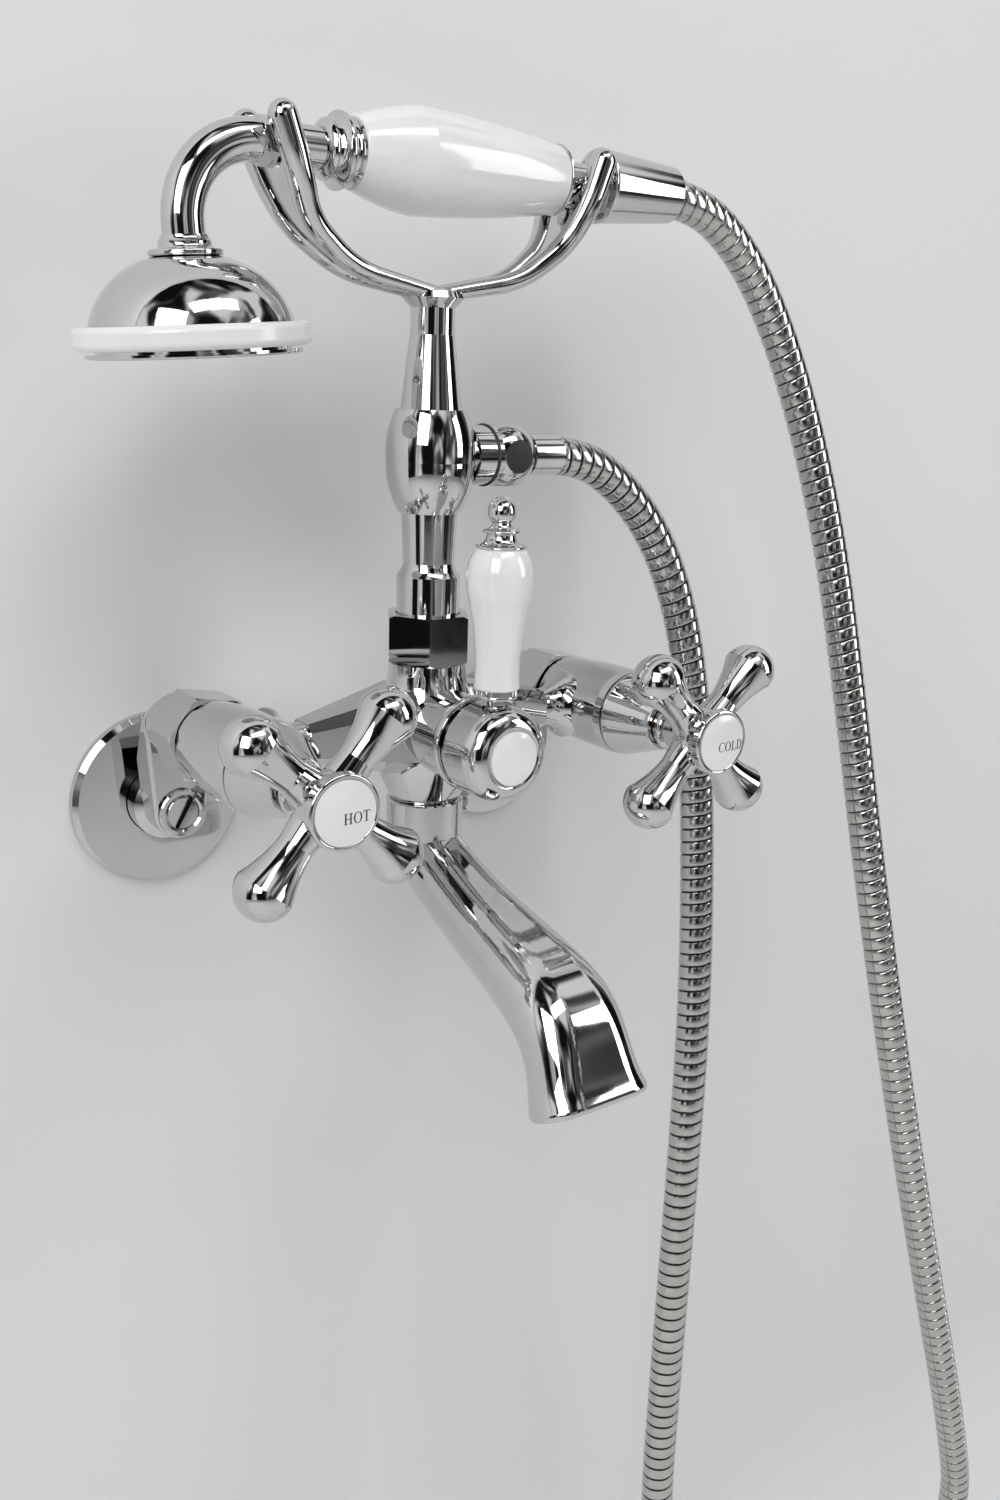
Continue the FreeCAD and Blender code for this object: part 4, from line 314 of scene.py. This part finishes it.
def glazed_porcelain():
    """White glaze with a clear coat and a barely uneven surface."""
    colour = tuple(finishes().porcelain)
    glaze = Material("glazed_porcelain").set(
        Coat_Weight=0.8, Coat_Roughness=0.03, Subsurface_Weight=0.12,
        Subsurface_Radius=(4 * MM, 4 * MM, 3.5 * MM), IOR=1.52)
    cloud = glaze.noise(60)
    glaze.colour(glaze.mix(glaze.span(cloud, 0, 1), shade(colour, 0.965), colour))
    glaze.rough(glaze.span(glaze.noise(240, detail=2), 0.12, 0.2))
    glaze.bump(glaze.noise(120, detail=1), 0.03 * MM, strength=0.4)
    return glaze.material


def ring_plastic():
    """White moulded plastic of the ring round the shower head."""
    colour = tuple(finishes().ring)
    plastic = Material("white_ring_plastic").set(Coat_Weight=0.35, Coat_Roughness=0.08)
    cloud = plastic.noise(30, detail=1)
    plastic.colour(plastic.mix(plastic.span(cloud, 0, 1), shade(colour, 0.99), colour))
    plastic.rough(plastic.span(cloud, 0.2, 0.24))
    return plastic.material


def hose_strip():
    """Lightly brushed strip, with painted shade in the groove where two turns meet."""
    colour = tuple(finishes().hose)
    strip = Material("hose_strip").set(Metallic=1.0)
    depth_and_shade = strip.node("ShaderNodeAttribute", attribute_name="groove").outputs["Fac"]
    shine = strip.span(strip.noise(90, detail=4), 0, 1)
    bright = strip.mix(shine, shade(colour, 0.9), colour)
    # Painted shade: the groove between two turns is darkened to 0.12 of the strip's colour.
    strip.colour(strip.mix(depth_and_shade, bright, shade(colour, 0.12)))
    strip.rough(strip.span(strip.noise(700), 0.1, 0.22))
    strip.bump(strip.noise(1500, detail=2), 0.03 * MM, strength=0.35)
    return strip.material


def plain_metal(name, colour, low, high):
    """Bare metal whose roughness goes from low to high."""
    metal = Material(name).set(Metallic=1.0)
    grain = metal.noise(400)
    metal.colour(metal.mix(metal.span(grain, 0, 1), shade(colour, 0.9), colour))
    metal.rough(metal.span(grain, low, high))
    return metal.material


def seal_rubber():
    """Dull black rubber."""
    colour = tuple(finishes().rubber)
    rubber = Material("seal_rubber")
    grain = rubber.noise(900)
    rubber.colour(rubber.mix(rubber.span(grain, 0, 1), colour, shade(colour, 1.8)))
    rubber.rough(rubber.span(grain, 0.55, 0.75))
    return rubber.material


def letter_ink():
    """Black fired ink, a little uneven."""
    colour = tuple(finishes().letters)
    ink = Material("letter_ink")
    cloud = ink.span(ink.noise(900, detail=2), 0, 1)
    ink.colour(ink.mix(cloud, colour, shade(colour, 2.2)))
    ink.rough(ink.span(ink.noise(500, detail=2), 0.3, 0.42))
    return ink.material


def dress(names, material):
    """Gives CAD nodes a finish; their meshes and places stay as they are."""
    for name in names:
        mesh = NODES[name].data
        mesh.materials.clear()
        mesh.materials.append(material)


def new_piece(name, mesh, material, smooth=True):
    """An object at the origin whose place is in its mesh."""
    piece = bpy.data.objects.new(name, mesh)
    bpy.context.scene.collection.objects.link(piece)
    mesh.materials.append(material)
    for face in mesh.polygons:
        face.use_smooth = smooth
    return piece


class RouteLine:
    """The hose's smooth line: places and steady frames at any distance along it."""

    def __init__(self, points):
        self.places = points
        self.along = [0.0]
        for before, after in zip(points, points[1:]):
            self.along.append(self.along[-1] + (after - before).length)
        self.ahead = []
        for index in range(len(points)):
            first = points[max(index - 1, 0)]
            last = points[min(index + 1, len(points) - 1)]
            self.ahead.append((last - first).normalized())
        side = self.ahead[0].cross(Vector((0, 0, 1))).normalized()
        self.sides = []
        for ahead in self.ahead:
            side = (side - ahead * side.dot(ahead)).normalized()
            self.sides.append(side)
        self.at = 0

    @property
    def length(self):
        return self.along[-1]

    def carry(self, across, up, distance):
        """A point that is across and up from the line at a distance; distances only grow."""
        while self.at < len(self.along) - 2 and self.along[self.at + 1] < distance:
            self.at += 1
        start = self.along[self.at]
        share = (distance - start) / (self.along[self.at + 1] - start)
        place = self.places[self.at].lerp(self.places[self.at + 1], share)
        ahead = self.ahead[self.at].lerp(self.ahead[self.at + 1], share).normalized()
        side = self.sides[self.at].lerp(self.sides[self.at + 1], share)
        side = (side - ahead * side.dot(ahead)).normalized()
        return place + side * across + ahead.cross(side) * up


def smooth_route(points):
    """The line that a NURBS spline makes of the route's points."""
    curve = bpy.data.curves.new("hose_route", "CURVE")
    curve.dimensions = "3D"
    curve.resolution_u = 24
    spline = curve.splines.new("NURBS")
    spline.points.add(len(points) - 1)
    for target, point in zip(spline.points, points):
        target.co = (*(number * MM for number in point), 1)
    spline.order_u = 3
    spline.use_endpoint_u = True
    holder = bpy.data.objects.new("hose_route", curve)
    mesh = bpy.data.meshes.new_from_object(holder)
    places = [vertex.co.copy() for vertex in mesh.vertices]
    bpy.data.meshes.remove(mesh)
    bpy.data.curves.remove(curve)
    return places


def wound_tube(length, hose):
    """A straight tube wound from one strip, along +Z from the origin."""
    turns = round(length / hose.pitch)
    pitch = length / turns
    tube = bmesh.new()
    # Each point's groove depth, which the strip's material also uses as its painted shade.
    groove = tube.verts.layers.float.new("groove")
    strip = []
    for share, depth_and_shade in STRIP_SECTION:
        radius = hose.diameter / 2 - depth_and_shade * hose.groove
        vertex = tube.verts.new((radius, 0, (share - 1) * pitch))
        vertex[groove] = depth_and_shade
        strip.append(vertex)
    edges = [tube.edges.new(pair) for pair in zip(strip, strip[1:])]
    bmesh.ops.spin(
        tube, geom=strip + edges, cent=(0, 0, 0), axis=(0, 0, 1),
        dvec=(0, 0, pitch / hose.sides), angle=math.tau, steps=hose.sides,
        use_merge=False, use_duplicate=False)
    first = tube.verts[:] + tube.edges[:] + tube.faces[:]
    for turn in range(1, turns + 1):
        copy = bmesh.ops.duplicate(tube, geom=first)
        moved = [item for item in copy["geom"] if isinstance(item, bmesh.types.BMVert)]
        bmesh.ops.translate(tube, verts=moved, vec=(0, 0, turn * pitch))
    bmesh.ops.remove_doubles(tube, verts=tube.verts, dist=pitch * WELD_SHARE)
    for height, way in ((0, -1), (length, 1)):
        cut = bmesh.ops.bisect_plane(
            tube, geom=tube.verts[:] + tube.edges[:] + tube.faces[:], dist=1e-7,
            plane_co=(0, 0, height), plane_no=(0, 0, way), clear_outer=True)
        rim = [edge for edge in cut["geom_cut"] if isinstance(edge, bmesh.types.BMEdge)]
        bmesh.ops.holes_fill(tube, edges=rim, sides=0)
    bmesh.ops.recalc_face_normals(tube, faces=tube.faces)
    return tube


def ellipse(centre, radii, start, end, steps=20):
    """Points of an elliptical arc between two angles in degrees."""
    points = []
    for step in range(steps + 1):
        angle = math.radians(start + (end - start) * step / steps)
        across = centre[0] + radii[0] * math.cos(angle)
        points.append((across, centre[1] + radii[1] * math.sin(angle)))
    return points


def letter_outlines():
    """Serif capitals one unit high: each with its width and its outlines, holes included."""
    left_stem = [
        (0.42, 1), (0.02, 1), (0.02, 0.95), (0.14, 0.95), (0.14, 0.05), (0.02, 0.05)]
    return {
        "H": (1.0, [[
            (0.02, 0), (0.42, 0), (0.42, 0.05), (0.30, 0.05), (0.30, 0.47), (0.70, 0.47),
            (0.70, 0.05), (0.58, 0.05), (0.58, 0), (0.98, 0), (0.98, 0.05), (0.86, 0.05),
            (0.86, 0.95), (0.98, 0.95), (0.98, 1), (0.58, 1), (0.58, 0.95), (0.70, 0.95),
            (0.70, 0.53), (0.30, 0.53), (0.30, 0.95), (0.42, 0.95), *left_stem]]),
        "O": (0.98, [
            ellipse((0.49, 0.5), (0.47, 0.52), 0, 351, 39),
            ellipse((0.49, 0.5), (0.31, 0.47), 0, 351, 39)]),
        "T": (0.86, [[
            (0.22, 0), (0.64, 0), (0.64, 0.05), (0.51, 0.05), (0.51, 0.94), (0.77, 0.94),
            (0.81, 0.74), (0.84, 0.74), (0.84, 1), (0.02, 1), (0.02, 0.74), (0.05, 0.74),
            (0.09, 0.94), (0.35, 0.94), (0.35, 0.05), (0.22, 0.05)]]),
        "C": (0.88, [[
            (0.86, 0.66), (0.86, 0.98), (0.82, 0.98), (0.79, 0.92),
            *ellipse((0.48, 0.5), (0.46, 0.52), 62, 318),
            *ellipse((0.50, 0.5), (0.34, 0.47), 316, 50), (0.82, 0.66)]]),
        "L": (0.82, [[
            (0.02, 0), (0.76, 0), (0.80, 0.30), (0.76, 0.30), (0.68, 0.06), (0.30, 0.06),
            (0.30, 0.95), (0.42, 0.95), *left_stem]]),
        "D": (0.94, [
            [(0.02, 0), *ellipse((0.45, 0.5), (0.47, 0.5), -90, 90),
             (0.02, 1), (0.02, 0.95), (0.14, 0.95), (0.14, 0.05), (0.02, 0.05)],
            [(0.30, 0.06), *ellipse((0.42, 0.5), (0.33, 0.44), -90, 90), (0.30, 0.94)]]),
    }


def word_mesh(word, width, height, thickness):
    """The word's letters as thin solids, from the origin to its width and height in X and Y."""
    outlines = letter_outlines()
    curve = bpy.data.curves.new(word, "CURVE")
    curve.dimensions = "2D"
    curve.fill_mode = "BOTH"
    curve.extrude = thickness
    run = sum(outlines[letter][0] for letter in word) + LETTER_GAP * (len(word) - 1)
    left = 0.0
    for letter in word:
        advance, loops = outlines[letter]
        for loop in loops:
            spline = curve.splines.new("POLY")
            spline.points.add(len(loop) - 1)
            spline.use_cyclic_u = True
            for target, (across, up) in zip(spline.points, loop):
                target.co = ((left + across) / run * width, up * height, 0, 1)
        left += advance + LETTER_GAP
    holder = bpy.data.objects.new(word, curve)
    mesh = bpy.data.meshes.new_from_object(holder)
    bpy.data.curves.remove(curve)
    return mesh


def lay_on_button(mesh, button, left, foot, thickness):
    """Moves the letters on to the button's dome: the front stands proud, the back sinks in."""
    dome = BVHTree.FromObject(button, bpy.context.evaluated_depsgraph_get())
    ahead = Vector((0, 1, 0))
    for vertex in mesh.vertices:
        proud = thickness if vertex.co.z > 0 else -thickness
        start = Vector((left + vertex.co.x, -1, foot + vertex.co.y))
        place = dome.ray_cast(start, ahead)[0]
        if place is None:
            raise RuntimeError(f"a letter misses {button.name}")
        vertex.co = place - ahead * proud


class FAUCET_OT_words(bpy.types.Operator):
    """Print the two words on the porcelain buttons"""

    bl_idname = "faucet.print_words"
    bl_label = "Words"

    def execute(self, context):
        words = context.scene.faucet_words
        ink = letter_ink()
        for water, (button, tap, left, right, foot) in WORD_PLACES.items():
            word = getattr(words, water)
            mesh = word_mesh(word, (right - left) * MM, words.height, words.thickness)
            lay_on_button(mesh, NODES[button], left * MM, foot * MM, words.thickness)
            mesh.name = f"{water}_word"
            solid = bmesh.new()
            solid.from_mesh(mesh)
            bmesh.ops.remove_doubles(solid, verts=solid.verts, dist=0.001 * MM)
            bmesh.ops.recalc_face_normals(solid, faces=solid.faces)
            solid.to_mesh(mesh)
            solid.free()
            piece = new_piece(f"{water}_word", mesh, ink, smooth=False)
            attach(piece, tap)
        return {"FINISHED"}


class FAUCET_OT_camera(bpy.types.Operator):
    """Place the camera in front of the faucet, from the hot side and a little above"""

    bl_idname = "faucet.place_camera"
    bl_label = "Camera"

    def execute(self, context):
        camera = bpy.data.cameras.new("camera")
        camera.lens = context.scene.faucet_studio.lens
        camera.sensor_width = 36
        camera.sensor_fit = "AUTO"
        camera.clip_start = 0.01
        camera.clip_end = 20
        stand = bpy.data.objects.new("camera", camera)
        context.scene.collection.objects.link(stand)
        yaw = math.radians(CAMERA_TURN)
        pitch = math.radians(CAMERA_TILT)
        roll = math.radians(CAMERA_LEAN)
        look = Vector((math.sin(yaw) * math.cos(pitch), math.cos(yaw) * math.cos(pitch),
                       -math.sin(pitch)))
        level = look.cross(Vector((0, 0, 1))).normalized()
        upright = level.cross(look)
        right = level * math.cos(roll) + upright * math.sin(roll)
        up = upright * math.cos(roll) - level * math.sin(roll)
        turn = Matrix((right, up, -look)).transposed().to_4x4()
        stand.matrix_world = Matrix.Translation(CAMERA_PLACE) @ turn
        context.scene.camera = stand
        return {"FINISHED"}


class FAUCET_OT_hose(bpy.types.Operator):
    """Wind the metal hose and hang it from the outlet to the hand shower"""

    bl_idname = "faucet.wind_hose"
    bl_label = "Hose"

    def execute(self, context):
        hose = context.scene.faucet_hose
        places = smooth_route(HOSE_ROUTE)
        line = RouteLine(places)
        tube = wound_tube(line.length, hose)
        end_share = hose.end_diameter / hose.diameter
        for vertex in sorted(tube.verts, key=lambda vertex: vertex.co.z):
            across, up, distance = vertex.co
            if min(distance, line.length - distance) < hose.end_length:
                across *= end_share
                up *= end_share
            vertex.co = line.carry(across, up, distance)
        mesh = bpy.data.meshes.new("wound_hose")
        tube.to_mesh(mesh)
        tube.free()
        piece = new_piece("wound_hose", mesh, hose_strip())
        mesh.set_sharp_from_angle(angle=SHARP_ANGLE)
        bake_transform(piece)
        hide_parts("shower_hose")
        return {"FINISHED"}


class FAUCET_OT_chrome(bpy.types.Operator):
    """Give the plated parts their polished chrome"""

    bl_idname = "faucet.plate_metal"
    bl_label = "Chrome"

    def execute(self, context):
        dress(CHROME_NODES, polished_chrome())
        return {"FINISHED"}


class FAUCET_OT_porcelain(bpy.types.Operator):
    """Glaze the porcelain parts and finish the shower head's white ring"""

    bl_idname = "faucet.glaze_porcelain"
    bl_label = "Porcelain"

    def execute(self, context):
        dress(PORCELAIN_NODES, glazed_porcelain())
        dress(("spray_ring",), ring_plastic())
        return {"FINISHED"}


class FAUCET_OT_inner_parts(bpy.types.Operator):
    """Finish the brass, steel and rubber parts inside"""

    bl_idname = "faucet.finish_inner_parts"
    bl_label = "Parts inside"

    def execute(self, context):
        dress(BRASS_NODES, plain_metal("turned_brass", tuple(finishes().brass), 0.2, 0.34))
        dress(STEEL_NODES, plain_metal("screw_steel", tuple(finishes().steel), 0.24, 0.4))
        dress(RUBBER_NODES, seal_rubber())
        return {"FINISHED"}


class FAUCET_OT_studio(bpy.types.Operator):
    """Set up the pale wall, the floor and the soft light"""

    bl_idname = "faucet.set_studio"
    bl_label = "Studio"

    def execute(self, context):
        studio = context.scene.faucet_studio
        backdrop(studio)
        lamps(studio)
        plain_world()
        dim_room()
        context.scene.view_settings.view_transform = "Standard"
        return {"FINISHED"}


def backdrop(studio):
    """One pale sheet: the wall behind the faucet, bent forward into the floor."""
    left = -WALL_HALF_WIDTH
    bend_height = WALL_BEND - studio.floor_drop
    sheet = bmesh.new()
    corner = sheet.verts.new((left, WALL_GAP, bend_height))
    arc = bmesh.ops.spin(
        sheet, geom=[corner], cent=(left, WALL_GAP - WALL_BEND, bend_height),
        axis=(1, 0, 0), dvec=(0, 0, 0), angle=-math.pi / 2, steps=12,
        use_merge=False, use_duplicate=False)
    foot = arc["geom_last"][0]
    top = sheet.verts.new((left, WALL_GAP, WALL_HEIGHT))
    front = sheet.verts.new((left, -FLOOR_DEPTH, foot.co.z))
    sheet.edges.new((top, corner))
    sheet.edges.new((foot, front))
    wide = bmesh.ops.extrude_edge_only(sheet, edges=sheet.edges[:])
    moved = [item for item in wide["geom"] if isinstance(item, bmesh.types.BMVert)]
    bmesh.ops.translate(sheet, verts=moved, vec=(2 * WALL_HALF_WIDTH, 0, 0))
    bmesh.ops.recalc_face_normals(sheet, faces=sheet.faces)
    mesh = bpy.data.meshes.new("backdrop")
    sheet.to_mesh(mesh)
    sheet.free()
    middle = mesh.polygons[0]
    if middle.normal.y > 0 or middle.normal.z < -0.5:
        mesh.flip_normals()
    wall = Material("pale_wall").set(Roughness=0.7)
    cloud = wall.noise(3, detail=2)
    colour = tuple(studio.wall)
    wall.colour(wall.mix(wall.span(cloud, 0, 1), shade(colour, 0.985), colour))
    output = wall.nodes["Material Output"]
    clear = wall.node("ShaderNodeBsdfTransparent")
    side = wall.node("ShaderNodeNewGeometry")
    pick = wall.node("ShaderNodeMixShader")
    wall.links.new(side.outputs["Backfacing"], pick.inputs["Fac"])
    wall.links.new(wall.shader.outputs["BSDF"], pick.inputs[1])
    wall.links.new(clear.outputs["BSDF"], pick.inputs[2])
    wall.links.new(pick.outputs["Shader"], output.inputs["Surface"])
    piece = new_piece("backdrop", mesh, wall.material)


def lamp(name, place, target, size, power):
    """A soft rectangle of light that faces its target."""
    light = bpy.data.lights.new(name, "AREA")
    light.shape = "RECTANGLE"
    light.size, light.size_y = size
    light.energy = power
    stand = bpy.data.objects.new(name, light)
    stand.location = place
    stand.rotation_mode = "QUATERNION"
    stand.rotation_quaternion = (Vector(target) - Vector(place)).to_track_quat("-Z", "Y")
    bpy.context.scene.collection.objects.link(stand)


def lamps(studio):
    for name, place, target, size, share in LAMPS:
        lamp(name, place, target, size, studio.soft_light * share)


def plain_world():
    """One pale tone all round."""
    world = bpy.data.worlds.new("pale_world")
    world.use_nodes = True
    background = world.node_tree.nodes["Background"]
    background.inputs["Color"].default_value = WORLD_TONE
    background.inputs["Strength"].default_value = 1.0
    bpy.context.scene.world = world


def dim_room():
    """Half a dome in front of the wall that only the plate shows, for its dark reflections."""
    dome = bmesh.new()
    bmesh.ops.create_uvsphere(dome, u_segments=48, v_segments=24, radius=ROOM_RADIUS)
    bmesh.ops.bisect_plane(
        dome, geom=dome.verts[:] + dome.edges[:] + dome.faces[:], dist=1e-6,
        plane_co=(0, 0, 0), plane_no=(0, 1, 0), clear_outer=True)
    bmesh.ops.reverse_faces(dome, faces=dome.faces[:])
    mesh = bpy.data.meshes.new("dim_room")
    dome.to_mesh(mesh)
    dome.free()
    walls = Material("dim_room")
    place = walls.node("ShaderNodeTexCoord")
    stretch = walls.node("ShaderNodeMapping")
    stretch.inputs["Scale"].default_value = tuple(size / ROOM_RADIUS for size in ROOM_STRETCH)
    stretch.inputs["Rotation"].default_value = ROOM_TURN
    noise = walls.node("ShaderNodeTexNoise")
    noise.inputs["Scale"].default_value = 1.7
    noise.inputs["Detail"].default_value = 1.0
    noise.inputs["Distortion"].default_value = 0.7
    ramp = walls.node("ShaderNodeValToRGB")
    tones = ramp.color_ramp.elements
    while len(tones) < len(ROOM_TONES):
        tones.new(0.5)
    for tone, (position, grey) in zip(tones, ROOM_TONES):
        tone.position = position
        tone.color = (grey, grey, grey * 1.01, 1)
    glow = walls.node("ShaderNodeEmission")
    glow.inputs["Strength"].default_value = ROOM_GLOW
    walls.links.new(place.outputs["Object"], stretch.inputs["Vector"])
    walls.links.new(stretch.outputs["Vector"], noise.inputs["Vector"])
    walls.links.new(noise.outputs["Fac"], ramp.inputs["Fac"])
    walls.links.new(ramp.outputs["Color"], glow.inputs["Color"])
    output = walls.nodes["Material Output"]
    walls.links.new(glow.outputs["Emission"], output.inputs["Surface"])
    piece = new_piece("dim_room", mesh, walls.material)
    piece.visible_camera = False


class FAUCET_PT_looks(bpy.types.Panel):
    """Sizes, colours and steps of the faucet's looks."""

    bl_label = "Bath Faucet"
    bl_idname = "FAUCET_PT_looks"
    bl_space_type = "VIEW_3D"
    bl_region_type = "UI"
    bl_category = "Faucet"

    def draw(self, context):
        layout = self.layout
        for step in STEPS:
            layout.operator(step.bl_idname)
        for name in GROUPS:
            group = getattr(context.scene, name)
            box = layout.box()
            for setting in group.__annotations__:
                box.prop(group, setting)


GROUPS = {
    "faucet_finishes": FaucetFinishes,
    "faucet_hose": FaucetHose,
    "faucet_words": FaucetWords,
    "faucet_studio": FaucetStudio,
}
STEPS = (
    FAUCET_OT_camera,
    FAUCET_OT_hose,
    FAUCET_OT_chrome,
    FAUCET_OT_porcelain,
    FAUCET_OT_inner_parts,
    FAUCET_OT_words,
    FAUCET_OT_studio,
)


def register():
    for group in (*GROUPS.values(), *STEPS, FAUCET_PT_looks):
        bpy.utils.register_class(group)
    for name, group in GROUPS.items():
        setattr(bpy.types.Scene, name, PointerProperty(type=group))


def unregister():
    for name in GROUPS:
        delattr(bpy.types.Scene, name)
    for group in reversed((*GROUPS.values(), *STEPS, FAUCET_PT_looks)):
        bpy.utils.unregister_class(group)


def main():
    register()
    for step in STEPS:
        group, action = step.bl_idname.split(".")
        getattr(getattr(bpy.ops, group), action)()


if __name__ == "__main__":
    main()
